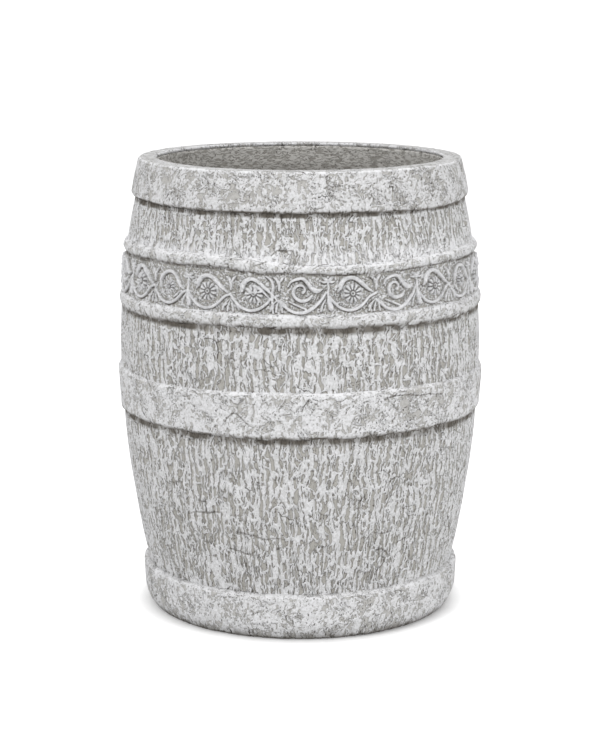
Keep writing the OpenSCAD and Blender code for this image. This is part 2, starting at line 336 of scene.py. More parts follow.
def skin_loop(face, skin, tuck=0.0):
    """Closed loop of an outer face run on behind its neighbours by a tuck, and its back."""
    if tuck:
        # Each end runs on along the slope of its last eight steps
        foot, head = face[0] - face[8], face[-1] - face[-9]
        face = np.vstack([face[0] - foot / foot[1] * tuck, face, face[-1] + head / head[1] * tuck])
    back = face[::-1] - [skin, 0]
    return np.vstack([face, back])


def worn_loop(loop, wear, grains):
    """The loop with its corners worn round, its points spaced by which way each face looks."""
    loop = densify(loop, FINE_STEP)
    reach = math.ceil(3 * wear / FINE_STEP)
    taps = np.exp(-0.5 * (np.arange(-reach, reach + 1) * FINE_STEP / wear) ** 2)
    taps /= taps.sum()
    soft = sum(t * np.roll(loop, i - reach, axis=0) for i, t in enumerate(taps))
    normal = outward(soft)
    grain = np.full(len(soft), grains["back"])
    grain[normal[:, 1] > 0.7] = grains["top"]
    grain[normal[:, 1] < -0.7] = grains["under"]
    grain[normal[:, 0] > 0.25] = grains["front"]
    steps = FINE_STEP / grain
    return respaced(soft, steps, int(np.cumsum(steps)[-1]))


def waves(theta, size, seed, low=2, high=40, fall=1.5):
    """Wandering of a hand-made edge round the barrel: seeded sines, about size in height."""
    rng = np.random.default_rng(seed)
    k = np.arange(low, high)
    strength = k**-fall * rng.normal(1, 0.3, len(k))
    strength *= size / math.sqrt((strength**2).sum() / 2)
    phase = rng.uniform(0, 2 * math.pi, len(k))
    return (strength[:, None] * np.sin(k[:, None] * theta + phase[:, None])).sum(0)


def smooth(low, high, x):
    """Eased share, from 0 at low to 1 at high, which may be the lesser of the two."""
    t = np.clip((x - low) / (high - low), 0, 1)
    return t * t * (3 - 2 * t)


def mesh_object(name, co, quads, caps=(), **attributes):
    """Mesh object from arrays, with faces pointing outwards and float attributes on its points."""
    a, b, c = (co[quads[:, i]] for i in (0, 1, 2))
    inside_out = np.einsum("ij,ij->", np.cross(a, b), c) < 0
    if inside_out:
        quads = quads[:, ::-1]
        caps = [cap[::-1] for cap in caps]
    points = np.concatenate([quads.ravel(), *caps]).astype(np.int32)
    starts = np.cumsum([0] + [4] * len(quads) + [len(cap) for cap in caps])[:-1]
    mesh = bpy.data.meshes.new(name)
    mesh.vertices.add(len(co))
    mesh.vertices.foreach_set("co", co.astype(np.float32).ravel())
    mesh.loops.add(len(points))
    mesh.loops.foreach_set("vertex_index", points)
    mesh.polygons.add(len(starts))
    mesh.polygons.foreach_set("loop_start", starts.astype(np.int32))
    mesh.update(calc_edges=True)
    for key, values in attributes.items():
        keep(mesh, key, values)
    return in_scene(name, mesh)


def curve_through(points, steps=8):
    """Smooth curve through points, each [s, v, width], in millimetres."""
    p = np.array(points, float)
    p = np.vstack([2 * p[0] - p[1], p, 2 * p[-1] - p[-2]])
    t = np.linspace(0, 1, steps, endpoint=False)[:, None]
    spans = [
        0.5 * (2 * b + (c - a) * t + (2 * a - 5 * b + 4 * c - d) * t**2 + (3 * b - a - 3 * c + d) * t**3)
        for a, b, c, d in zip(p, p[1:], p[2:], p[3:])
    ]
    return np.vstack([*spans, p[-2:-1]])


# Millimetres along a stroke from one carved flute to the next
FLUTE_SPACING = 3.4


def stroke(grid_s, grid_v, points, height, flute=0.0):
    """Height of a rounded stroke over a grid, and how far each point is outside it."""
    curve = curve_through(points)
    a, b = curve[:-1], curve[1:]
    best = np.full(grid_s.shape, 1e9)
    wide = np.ones(grid_s.shape)
    along = np.zeros(grid_s.shape)
    start = np.r_[0, np.cumsum(np.hypot(*(b - a)[:, :2].T))]
    for i in range(len(a)):
        run = b[i, :2] - a[i, :2]
        length = max(run @ run, 1e-9)
        t = np.clip(((grid_s - a[i, 0]) * run[0] + (grid_v - a[i, 1]) * run[1]) / length, 0, 1)
        d = np.hypot(grid_s - a[i, 0] - run[0] * t, grid_v - a[i, 1] - run[1] * t)
        w = (a[i, 2] + (b[i, 2] - a[i, 2]) * t) / 2
        closer = d / w < best
        best = np.where(closer, d / w, best)
        wide = np.where(closer, w, wide)
        along = np.where(closer, start[i] + (start[i + 1] - start[i]) * t, along)
    inside = np.clip(1 - best**3, 0, 1) ** 0.5
    crest = 0.5 + 0.5 * np.cos(2 * math.pi * along / FLUTE_SPACING)
    ribs = 1 - flute * crest * np.clip(best, 0.2, 1)
    # A stroke less than 4 mm wide stands lower
    fall = np.clip(wide / 2.0, 0.5, 1)
    return height * inside * ribs * fall, (best - 1) * wide


# Cracks, holes and a scratch like a fern that the photo shows: [degrees round, mm up, mm wide]
FLAWS = {
    "rim_collar": [
        [[8.2, 516, 1.4], [8.9, 508, 1.6], [9.1, 499, 1.6], [9.8, 491, 1.4]],
        [[9.8, 491, 1.4], [9, 488, 1.2], [8, 487, 1]],
        [[8.3, 515, 1.2], [10.4, 513, 1]],
        [[8.3, 515, 1.2], [6.6, 514, 1]],
        [[9.1, 511, 1.2], [11, 508, 1.1], [13.6, 504, 1]],
        [[9.1, 506, 1.2], [11, 503, 1]],
        [[9.2, 502, 1.2], [10.8, 499, 1]],
        [[9.3, 498, 1.2], [11.2, 493, 1]],
        [[9.8, 493, 1.2], [12, 490, 1.1], [15.2, 486.6, 1]],
        [[9, 504, 1.2], [7.6, 502, 1]],
    ],
    "upper_wall": [
        [
            [-9, 432, 1.2], [-7.3, 437, 1.4], [-5.5, 438, 2], [-4.4, 436.5, 2], [-3, 437.4, 1.6],
            [-1, 436.4, 1],
        ],
    ],
    "upper_hoop": [[[-14, 421, 1], [-11.6, 425, 1.3], [-9, 430, 1.3]]],
    "belly_band": [
        [
            [26, 275, 1.2], [28, 278, 1.4], [32, 278.8, 1.8], [36, 277.4, 1.8], [39, 275, 1.6],
            [42, 275.6, 1.6], [44.5, 274, 1.4], [49, 272, 1],
        ],
        [[-24, 246, 1], [-20, 262, 1.6], [-15.6, 250, 1.4], [-14, 247, 1]],
    ],
    "lower_wall": [
        [
            [-48, 141, 1], [-43.5, 138, 1.2], [-40, 138, 1.2], [-36, 143, 1.4], [-33.7, 143, 3],
            [-31, 144, 3], [-27.7, 146, 1.6],
        ],
        [[-32, 152, 1.2], [-32, 144, 3.4]],
        [[-34.6, 157, 2.6], [-32, 156, 1.4]],
        [
            [-25, 105, 1], [-21.6, 103, 2], [-18.5, 100, 2.2], [-17, 100, 2], [-15.4, 103, 1.4],
            [-13.7, 108, 1],
        ],
        [[-17, 100, 1.6], [-15.6, 95, 1]],
        [
            [-20.7, 125, 3], [-17.6, 123.6, 1.6], [-14.2, 121, 2.2], [-11.2, 119, 1.2], [-8.3, 121, 2],
            [-5, 119, 1.2],
        ],
        [[-7.6, 108.2, 3.4], [-7.2, 107.8, 3.4]],
        [[22.7, 116, 2], [24.3, 123, 1.4], [27.7, 120.7, 1.4], [31.5, 122, 2.4]],
        [[26.4, 101.5, 1.4], [29, 101.5, 3], [32, 93, 1]],
    ],
}


def flaws_on(node, loop, theta):
    """How deep each point lies in the flaws of a node, from 0 to 1."""
    depth = np.zeros((len(loop), len(theta)))
    if node not in FLAWS:
        return depth
    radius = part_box(node)[1].x / MM
    outer = outward(loop)[:, 0] > 0.5
    s, v = theta * radius, loop[:, 1] / MM
    margin = 4
    for points in FLAWS[node]:
        drawn = np.array(points) * [math.radians(radius), 1, 1]
        low, high = drawn.min(0) - margin, drawn.max(0) + margin
        rows = np.flatnonzero(outer & (v > low[1]) & (v < high[1]))
        cols = np.flatnonzero((s > low[0]) & (s < high[0]))
        if len(rows) and len(cols):
            grid_s, grid_v = np.meshgrid(s[cols], v[rows])
            window = np.ix_(rows, cols)
            depth[window] = np.maximum(depth[window], stroke(grid_s, grid_v, drawn, 2.0)[0])
    return np.clip(depth, 0, 1)


def spin(name, loop, columns, dirty, waver=None, start=-math.pi, turn=2 * math.pi, raise_by=None, node=None):
    """Spins a section loop round the barrel's axis into a closed solid.

    dirty(loop, theta, normal) gives how much dirt and painted shade lies on each point,
    and below 0 how much brighter wash, on edges partly a painted highlight; waver(loop, theta) its
    stray (dr, dz), and raise_by(loop, theta) its relief along the normal with a mask of what is raised. The
    node names the flaws to cut."""
    full = turn > 2 * math.pi - 1e-6
    theta = start + turn * np.arange(columns if full else columns + 1) / columns
    rows, cols = len(loop), len(theta)
    normal = outward(loop)
    r = np.repeat(loop[:, :1], cols, axis=1)
    z = np.repeat(loop[:, 1:], cols, axis=1)
    relief = np.zeros((rows, cols))
    if waver:
        dr, dz = waver(loop, theta)
        r = r + dr
        z = z + dz
    if raise_by:
        height, relief = raise_by(loop, theta)
        r = r + normal[:, :1] * height
        z = z + normal[:, 1:] * height
    flaw = flaws_on(node, loop, theta)
    r = r - normal[:, :1] * flaw * MM
    co = np.stack([r * np.sin(theta), -r * np.cos(theta), z], axis=2).reshape(-1, 3)
    i, j = np.meshgrid(np.arange(rows), np.arange(cols if full else cols - 1), indexing="ij")
    i2, j2 = (i + 1) % rows, (j + 1) % cols
    quads = np.stack([i * cols + j, i * cols + j2, i2 * cols + j2, i2 * cols + j], axis=2).reshape(-1, 4)
    caps = [] if full else [np.arange(rows) * cols, np.arange(rows)[::-1] * cols + cols - 1]
    level = np.repeat(smooth(0.8, 0.97, normal[:, 1:]), cols, axis=1)
    # Dirt and painted shade on each point, and below 0 brighter wash that is partly a painted highlight
    dirt = dirty(loop, theta, normal)
    dirt = np.where(flaw > 0, np.maximum(dirt, 0.8 * flaw), dirt)
    obj = mesh_object(name, co, quads, caps, level=level, relief=relief, dirt=dirt)
    up = np.repeat(normal[:, 1:], cols, axis=1)
    out = np.stack([normal[:, :1] * np.sin(theta), -normal[:, :1] * np.cos(theta), up], axis=2)
    keep(obj.data, "out", out, "FLOAT_VECTOR")
    return obj


# Surface pattern of the cast concrete, the same nodes for its shape and for its colour


# Sizes of the pattern, with lengths and depths in millimetres
PATTERN = {
    # Streaks of noise, this wide and long, which turn by patch. Ridges stand where they rise over Level
    "Across": 2.8, "Along": 27.0, "Turn": 0.0, "Level": 0.535,
    # Weight of the clouds that gather the ridges, their width, and how many times as tall they are
    "Cloud": 0.35, "Patch": 10.0, "Tall": 3.5,
    # Weights of a comb of even ridges and of ragged noise, and the height of the threads' crests
    "Comb": 0.0, "Ragged": 0.15, "Thread": 0.09,
    # How deep the ground lies between ridges, and then how much of it is marked, and how deep
    "Depth": 1.0, "Scratch Share": 0.1, "Scratch Depth": 0.4,
    "Pit Size": 3.2, "Pit Share": 0.3, "Pit Depth": 1.0,
    "Crack Share": 0.22, "Crack Depth": 0.8, "Grit": 0.1,
}
# Wash added on the ridges' flat tops, or rubbed off below 0, the least that covers the hollows, and
# the share of grime colour in the creases, which is dirt and painted shade. Colour alone reads these
WASH = {"Flat": -0.35, "Film": 0.0, "Crease Dirt and Shade": 0.45}
# Radius, in millimetres, at which the skin is laid flat, about that of the bands
LAID_RADIUS = 200.0
# Millimetres from one ridge of the comb to the next
COMB_SPACING = 8.4


def stretched(tree, place, across, along):
    """A place measured in a pattern's own size, across and along its streaks."""
    sizes = add(tree, "ShaderNodeCombineXYZ", [across, along, along])
    return add(tree, "ShaderNodeVectorMath", [place, sizes], operation="DIVIDE")


def step_down(tree, value, whole, none):
    """One up to the value called whole, falling to nothing at none."""
    return add(tree, "ShaderNodeMapRange", [value, none, whole], interpolation_type="SMOOTHSTEP")


def strayed(tree, place, reach, size):
    """The place moved by up to a reach, by noise of a size, so that what is drawn there wanders."""
    cloud = add(tree, "ShaderNodeTexNoise", {"Vector": place, "Scale": 1 / size, "Detail": 1.0})
    return add(tree, "ShaderNodeVectorMath", [cloud.outputs["Color"], reach, place], operation="MULTIPLY_ADD")


def unrolled(tree, place):
    """The barrel's skin laid flat: how far round from the front a place is, and how far up."""
    parts = add(tree, "ShaderNodeSeparateXYZ", [place])
    front = add(tree, "ShaderNodeMath", [parts.outputs["Y"], -1.0], operation="MULTIPLY")
    turn = add(tree, "ShaderNodeMath", [parts.outputs["X"], front], operation="ARCTAN2")
    around = add(tree, "ShaderNodeMath", [turn, LAID_RADIUS], operation="MULTIPLY")
    level = add(tree, "ShaderNodeVectorMath", [place, (1, 1, 0)], operation="MULTIPLY")
    radius = add(tree, "ShaderNodeVectorMath", [level], operation="LENGTH")
    up = add(tree, "ShaderNodeMath", [parts.outputs["Z"], radius], operation="SUBTRACT")
    return add(tree, "ShaderNodeCombineXYZ", [around, up])


def streaked(tree, place, across, along, detail, roughness):
    """Noise stretched across and along."""
    place = stretched(tree, place, across, along)
    given = {"Vector": place, "Scale": 1.0, "Detail": detail, "Roughness": roughness}
    return add(tree, "ShaderNodeTexNoise", given, noise_dimensions="2D")


def cells(tree, place, across, along, feature="DISTANCE_TO_EDGE"):
    """Stretched cells: how far each point is from its cell's edge, or with F1 from its middle."""
    given = {"Vector": stretched(tree, place, across, along), "Scale": 1.0}
    return add(tree, "ShaderNodeTexVoronoi", given, voronoi_dimensions="2D", feature=feature)


def chosen(tree, noise, share):
    """One over a share of the surface, in the clouds of a noise that runs from about 0.32 to 0.68."""
    bar = add(tree, "ShaderNodeMath", [share, -0.36, 0.68], operation="MULTIPLY_ADD")
    top = add(tree, "ShaderNodeMath", [bar, 0.03], operation="ADD")
    return step_down(tree, noise, top, bar)


def cast_pattern(tree, place, given):
    """Nodes of the cast pattern at a place in millimetres, whose sizes given(name) returns.

    Returns low, which is 1 between ridges, top, which is 1 on their flat tops, cut, the depth
    below the moulded face in millimetres, crease_and_shade, the scratches and the narrow hollow at the foot
    of each ridge, which the colour darkens as dirt and as painted shade, hole, the pits and cracks, and grit,
    the noise of the grit."""
    # Clouds of about 25 and 18 mm, and grit of about 1.3 mm
    slow = add(tree, "ShaderNodeTexNoise", {"Vector": place, "Scale": 0.04, "Detail": 2.0})
    clouds = add(tree, "ShaderNodeTexNoise", {"Vector": place, "Scale": 0.055, "Detail": 1.0})
    grit = add(tree, "ShaderNodeTexNoise", {"Vector": place, "Scale": 0.75, "Detail": 2.0})
    tall = add(tree, "ShaderNodeMath", [given("Patch"), given("Tall")], operation="MULTIPLY")
    patch = add(tree, "ShaderNodeCombineXYZ", [given("Patch"), given("Patch"), tall])
    patch = add(tree, "ShaderNodeVectorMath", [place, patch], operation="DIVIDE")
    torn = add(tree, "ShaderNodeTexNoise", {"Vector": patch, "Scale": 1.0, "Detail": 2.0})
    skin = strayed(tree, unrolled(tree, place), (14, 0, 0), 45.0)
    skin = strayed(tree, skin, (4, 6, 0), 5.0)

    # Ridges are where streaks, all one way in each patch, rise over the level
    turn = add(tree, "ShaderNodeMath", [clouds, given("Turn")], operation="MULTIPLY")
    turn = add(tree, "ShaderNodeMath", [turn, 0.7], operation="SNAP")
    turned = add(tree, "ShaderNodeVectorRotate", {"Vector": skin, "Angle": turn}, rotation_type="Z_AXIS")
    streaks = streaked(tree, turned, given("Across"), given("Along"), 2.0, 0.45)
    # A comb of even ridges steadies the streaks of the bark
    comb = add(tree, "ShaderNodeSeparateXYZ", [turned])
    comb = add(tree, "ShaderNodeMath", [comb, 2 * math.pi / COMB_SPACING], operation="MULTIPLY")
    comb = add(tree, "ShaderNodeMath", [comb], operation="SINE")
    thread = streaked(tree, strayed(tree, turned, (5, 5, 0), 9.0), 7.0, 16.0, 1.0, 0.5)
    ragged, cloudy, thread = (
        add(tree, "ShaderNodeMath", [noise, 0.5], operation="SUBTRACT")
        for noise in (streaked(tree, skin, 2.4, 3.0, 2.0, 0.6), torn, thread)
    )
    height = add(tree, "ShaderNodeMath", [streaks, given("Level")], operation="SUBTRACT")
    for noise, name in ((comb, "Comb"), (cloudy, "Cloud"), (ragged, "Ragged")):
        height = add(tree, "ShaderNodeMath", [noise, given(name), height], operation="MULTIPLY_ADD")
    # Threads: thin raised lines that loop and fork over the low ground
    thread = add(tree, "ShaderNodeMath", [thread], operation="ABSOLUTE")
    thread = add(tree, "ShaderNodeMath", [thread, -1.5, given("Thread")], operation="MULTIPLY_ADD")
    height = add(tree, "ShaderNodeMath", [height, thread], operation="MAXIMUM")
    low = step_down(tree, height, -0.025, 0.025)
    top = step_down(tree, height, 0.12, 0.04)
    deep = step_down(tree, height, -0.09, -0.05)
    beside = add(tree, "ShaderNodeMath", [low, deep], operation="SUBTRACT", use_clamp=True)

    # Hairlines: scratches run with the streaks, cracks mostly level
    drawn = step_down(tree, cells(tree, turned, 5.0, 30.0), 0.03, 0.09)
    where = chosen(tree, clouds, given("Scratch Share"))
    scratch = add(tree, "ShaderNodeMath", [drawn, where], operation="MULTIPLY")
    seam = step_down(tree, cells(tree, skin, 60.0, 26.0), 0.006, 0.014)
    where = chosen(tree, slow, given("Crack Share"))
    crack = add(tree, "ShaderNodeMath", [seam, where], operation="MULTIPLY")

    # Pits: small holes in a share of the cells, more of them where the clouds are high
    holes = cells(tree, skin, given("Pit Size"), given("Pit Size"), feature="F1")
    pit = step_down(tree, holes, 0.12, 0.2)
    lot = add(tree, "ShaderNodeSeparateXYZ", [holes.outputs["Color"]])
    crowd = add(tree, "ShaderNodeMapRange", [clouds, 0.42, 0.62, 0.2, 2.2])
    crowd = add(tree, "ShaderNodeMath", [crowd, given("Pit Share")], operation="MULTIPLY")
    where = add(tree, "ShaderNodeMath", [lot, crowd], operation="LESS_THAN")
    pit = add(tree, "ShaderNodeMath", [pit, where], operation="MULTIPLY")

    cut = add(tree, "ShaderNodeMath", [low, given("Depth")], operation="MULTIPLY")
    marks = {"Scratch Depth": scratch, "Pit Depth": pit, "Crack Depth": crack, "Grit": grit}
    for name, mark in marks.items():
        cut = add(tree, "ShaderNodeMath", [mark, given(name), cut], operation="MULTIPLY_ADD")
    # The foot of each ridge, darkened later in colour as dirt and as painted shade
    crease_and_shade = add(tree, "ShaderNodeMath", [scratch, beside], operation="MAXIMUM")
    hole = add(tree, "ShaderNodeMath", [pit, crack], operation="MAXIMUM")
    return {"low": low, "top": top, "cut": cut, "crease_and_shade": crease_and_shade, "hole": hole, "grit": grit}


def close_tree(tree, geometry, material):
    """Ends a Geometry Nodes tree with plain geometry in its finish."""
    solid = add(tree, "GeometryNodeRealizeInstances", {"Geometry": geometry})
    dressed = add(tree, "GeometryNodeSetMaterial", {"Geometry": solid, "Material": material})
    add(tree, "NodeGroupOutput", {"Geometry": dressed})
    return tree


def surface_tree():
    """Geometry Nodes that cut the cast pattern into a piece, inwards from its moulded face."""
    tree = bpy.data.node_groups.new("Cast surface", "GeometryNodeTree")
    tree.interface.new_socket("Geometry", in_out="INPUT", socket_type="NodeSocketGeometry")
    for name, value in PATTERN.items():
        socket = tree.interface.new_socket(name, in_out="INPUT", socket_type="NodeSocketFloat")
        socket.default_value = value
    tree.interface.new_socket("Material", in_out="INPUT", socket_type="NodeSocketMaterial")
    tree.interface.new_socket("Geometry", in_out="OUTPUT", socket_type="NodeSocketGeometry")
    given = add(tree, "NodeGroupInput").outputs
    level, relief = (
        add(tree, "GeometryNodeInputNamedAttribute", {"Name": name}, data_type="FLOAT")
        for name in ("level", "relief")
    )
    position = add(tree, "GeometryNodeInputPosition")
    place = add(tree, "ShaderNodeVectorMath", {0: position, "Scale": 1 / MM}, operation="SCALE")
    marks = cast_pattern(tree, place, lambda name: given[name])
    flat = add(tree, "ShaderNodeMath", [level, -0.7, 1.0], operation="MULTIPLY_ADD")
    kept = add(tree, "ShaderNodeMath", [relief, -0.8, 1.0], operation="MULTIPLY_ADD")
    cut = add(tree, "ShaderNodeMath", [marks["cut"], flat], operation="MULTIPLY")
    cut = add(tree, "ShaderNodeMath", [cut, kept], operation="MULTIPLY")
    inward = add(tree, "ShaderNodeMath", [cut, -MM], operation="MULTIPLY")
    out = add(tree, "GeometryNodeInputNamedAttribute", {"Name": "out"}, data_type="FLOAT_VECTOR")
    offset = add(tree, "ShaderNodeVectorMath", {0: out, "Scale": inward}, operation="SCALE")
    around = add(tree, "GeometryNodeBlurAttribute", {0: cut, "Iterations": 6}, data_type="FLOAT")
    hollow = add(tree, "ShaderNodeMath", [cut, around], operation="SUBTRACT")
    marked = {"Geometry": given["Geometry"], "Name": "hollow", "Value": hollow}
    marked = add(tree, "GeometryNodeStoreNamedAttribute", marked)
    moved = add(tree, "GeometryNodeSetPosition", {"Geometry": marked, "Offset": offset})
    return close_tree(tree, moved, given["Material"])


def apply_tree(obj, tree, values):
    """Runs a node tree on an object and keeps the result as its plain mesh."""
    modifier = obj.modifiers.new(tree.name, "NODES")
    modifier.node_group = tree
    sockets = {s.name: s.identifier for s in tree.interface.items_tree if s.in_out == "INPUT"}
    for name, value in values.items():
        modifier[sockets[name]] = value
    graph = bpy.context.evaluated_depsgraph_get()
    made = bpy.data.meshes.new_from_object(obj.evaluated_get(graph))
    obj.modifiers.remove(modifier)
    obj.data = made
    obj.data.polygons.foreach_set("use_smooth", np.ones(len(obj.data.polygons), bool))
    return obj


def look_of(style):
    """Sizes of the pattern and its wash in a style: bark, plaster, bead, carved or trowelled."""
    sizes = bpy.context.scene.planter_casting
    changes = {
        "bark": {
            "Across": sizes.bark_across / MM, "Along": sizes.bark_along / MM, "Depth": sizes.bark_depth / MM,
            "Comb": 0.09,
        },
        "plaster": {
            "Across": 4.0, "Along": 9.0, "Turn": 9.0, "Level": 0.425,
            "Cloud": 0.85, "Patch": sizes.plaster_patch / MM, "Tall": 1.0,
            "Ragged": 0.25, "Thread": -0.1, "Flat": 0.0, "Film": 0.3, "Crease Dirt and Shade": 0.4,
            "Depth": sizes.plaster_depth / MM, "Scratch Share": 0.3, "Pit Share": 0.4, "Crack Share": 0.15,
        },
        "bead": {
            "Across": 3.6, "Along": 9.0, "Turn": 9.0, "Level": 0.43,
            "Cloud": 0.8, "Patch": 14.0, "Tall": 1.0,
            "Ragged": 0.2, "Thread": -0.1, "Flat": -0.2, "Film": 0.35,
            "Depth": 0.7, "Pit Size": 3.4, "Pit Share": 0.22,
        },
        "carved": {
            "Across": 2.4, "Along": 3.6, "Turn": 9.0, "Level": 0.53,
            "Tall": 1.0, "Ragged": 0.7, "Thread": -0.1, "Flat": 0.0,
            "Depth": 0.9, "Scratch Share": 0.0, "Pit Size": 2.6, "Pit Share": 0.45, "Pit Depth": 0.8,
            "Crack Share": 0.0,
        },
        "trowelled": {
            "Across": 11.0, "Along": 1.6, "Level": 0.46,
            "Cloud": 0.3, "Patch": 14.0, "Tall": 1.6,
            "Ragged": 0.2, "Thread": -0.1, "Flat": 0.2,
            "Depth": 0.4, "Scratch Share": 0.0, "Pit Size": 5.0, "Pit Share": 0.1, "Crack Share": 0.0,
        },
    }
    return {**PATTERN, **WASH, **changes[style]}


def cast_piece(obj, style, nodes):
    """Weathers a piece, gives it its finish and sets it on the casting in place of CAD nodes."""
    tree = bpy.data.node_groups.get("Cast surface") or surface_tree()
    look = look_of(style)
    apply_tree(obj, tree, {**{name: look[name] for name in PATTERN}, "Material": cast_concrete(style)})
    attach(obj, "casting")
    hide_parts(*nodes)
    return obj


# Finishes


NAMES = {
    "bark": "Cast concrete, bark relief, white wash",
    "plaster": "Cast concrete, smooth, white wash",
    "bead": "Cast concrete, rubbed bead, white wash",
    "carved": "Cast concrete, carved relief, white wash",
    "trowelled": "Cast concrete, trowelled, unwashed",
}


def blank_material(name):
    """A new material, and its node tree with nothing in it."""
    material = bpy.data.materials.new(name)
    material.use_nodes = True
    material.node_tree.nodes.clear()
    return material, material.node_tree


def dull_surface(tree, colour, roughness, bump, ior=1.45, shine=0.25):
    """Ends a material's tree in the surface of a dull, hard stuff that isn't metal."""
    given = {"Base Color": colour, "Roughness": roughness, "Normal": bump, "IOR": ior}
    shader = add(tree, "ShaderNodeBsdfPrincipled", {**given, "Specular IOR Level": shine})
    add(tree, "ShaderNodeOutputMaterial", {"Surface": shader})


def cast_concrete(style):
    """Cast concrete, hand-brushed with a matt white mineral wash and rubbed back.

    The wash stays on the high spots and breaks up into warm grey concrete in the hollows.
    Pits and cracks hold brown-grey dirt. The same colour darkens the foot of each ridge, the undercuts
    and the ground beside the carving, as dirt and as painted shade, and edges that the brush has caught
    are painted brighter, as thick wash and as a highlight. Inside, the trowelled concrete has no wash, and
    is darker in its hollows."""
    found = bpy.data.materials.get(NAMES[style])
    if found:
        return found
    finish = bpy.context.scene.planter_finish
    shades = finish.wash_thick_and_highlight, finish.wash, finish.wash_thin, finish.ground, finish.ground_pale
    if style == "trowelled":
        shades = finish.inner, finish.inner, finish.inner, finish.inner_dark, finish.inner_dark
    thickest_and_highlight, wash, thin, bare, pale = ((*shade, 1) for shade in shades)
    look = look_of(style)
    material, tree = blank_material(NAMES[style])
    relief, level, dirt, hollow = (
        add(tree, "ShaderNodeAttribute", attribute_name=name).outputs["Fac"]
        for name in ("relief", "level", "dirt", "hollow")
    )
    # Dirt and painted shade lie above 0, and below 0 marks an edge that the brush has caught, painted
    # brighter as a highlight
    dirt_and_shade_part = add(tree, "ShaderNodeMath", [dirt, 0.0], operation="MAXIMUM")
    edge = add(tree, "ShaderNodeMath", [dirt, -1.0], operation="MULTIPLY", use_clamp=True)
    where = add(tree, "ShaderNodeTexCoord").outputs["Object"]
    place = add(tree, "ShaderNodeVectorMath", {0: where, "Scale": 1 / MM}, operation="SCALE")
    marks = cast_pattern(tree, place, lambda name: look[name])
    # The brush leaves the wash thick and thin in clouds of about 2.5 mm
    fine = add(tree, "ShaderNodeTexNoise", {"Vector": place, "Scale": 0.4, "Detail": 2.0})
    # Sand grains of about 1 mm, as coarse as they need to be to show
    sand = add(tree, "ShaderNodeTexNoise", {"Vector": place, "Scale": 1.1, "Detail": 2.0, "Roughness": 0.7})

    clean = add(tree, "ShaderNodeMath", [relief, -0.9, 1.0], operation="MULTIPLY_ADD")
    bared = add(tree, "ShaderNodeMath", [clean, marks["low"]], operation="MULTIPLY")
    for share, weight in ((hollow, 0.15), (dirt_and_shade_part, 0.5), (sand, 0.5)):
        bared = add(tree, "ShaderNodeMath", [share, weight, bared], operation="MULTIPLY_ADD")
    coat = step_down(tree, bared, 0.5, 0.85)
    carved = add(tree, "ShaderNodeMath", [relief, 0.9], operation="MULTIPLY")
    for least in (look["Film"], carved):
        coat = add(tree, "ShaderNodeMath", [coat, least], operation="MAXIMUM")
    thick = add(tree, "ShaderNodeMapRange", [fine, 0.36, 0.6])
    thick = [marks["top"], look["Flat"], thick]
    thick = add(tree, "ShaderNodeMath", thick, operation="MULTIPLY_ADD", use_clamp=True)
    thick = add(tree, "ShaderNodeMath", [thick, relief], operation="MAXIMUM")
    rubbed = add(tree, "ShaderNodeMath", [level, 0.6], operation="MULTIPLY")
    # Brushed edges take the thickest wash, which also paints a highlight there
    brushed_and_highlit = add(tree, "ShaderNodeMath", [edge, 0.85], operation="MULTIPLY")
    ground = add(tree, "ShaderNodeMix", {"Factor": marks["grit"], 6: bare, 7: pale}, data_type="RGBA")
    paint = add(tree, "ShaderNodeMix", {"Factor": thick, 6: thin, 7: wash}, data_type="RGBA")
    colour = ground
    for share, over in ((coat, paint), (rubbed, thin), (brushed_and_highlit, thickest_and_highlight)):
        colour = add(tree, "ShaderNodeMix", {"Factor": share, 6: colour, 7: over}, data_type="RGBA")

    # Creases and the foot of each ridge darken as dirt and as painted shade
    crease_darkening = add(tree, "ShaderNodeMapRange", [fine, 0.36, 0.52])
    for share in (marks["crease_and_shade"], look["Crease Dirt and Shade"]):
        crease_darkening = add(tree, "ShaderNodeMath", [crease_darkening, share], operation="MULTIPLY")
    dirt_and_shade_share = add(tree, "ShaderNodeMath", [marks["hole"], 0.9], operation="MULTIPLY")
    dirt_and_shade_share = add(tree, "ShaderNodeMath", [dirt_and_shade_share, crease_darkening], operation="MAXIMUM")
    dirt_and_shade_share = add(tree, "ShaderNodeMath", [dirt_and_shade_share, clean], operation="MULTIPLY")
    # The attribute adds dirt and painted shade under the bands, in undercuts and beside the carving
    dirt_and_shade_share = add(tree, "ShaderNodeMath", [dirt_and_shade_part, 0.8, dirt_and_shade_share], operation="MULTIPLY_ADD", use_clamp=True)
    dirt_and_shade_share = {"Factor": dirt_and_shade_share, 6: colour, 7: (*finish.grime_and_shade, 1)}
    colour = add(tree, "ShaderNodeMix", dirt_and_shade_share, data_type="RGBA")

    speckle = add(tree, "ShaderNodeMapRange", [sand, 0.3, 0.7, 0.88, 1.08])
    colour = add(tree, "ShaderNodeVectorMath", {0: colour, "Scale": speckle}, operation="SCALE")

    height = add(tree, "ShaderNodeMath", [marks["cut"], -1.0], operation="MULTIPLY")
    height = add(tree, "ShaderNodeMath", [sand, 0.15, height], operation="MULTIPLY_ADD")
    bump = add(tree, "ShaderNodeBump", {"Strength": 1.0, "Distance": 1.2 * MM, "Height": height})
    dull_surface(tree, colour, 0.9, bump)
    return material


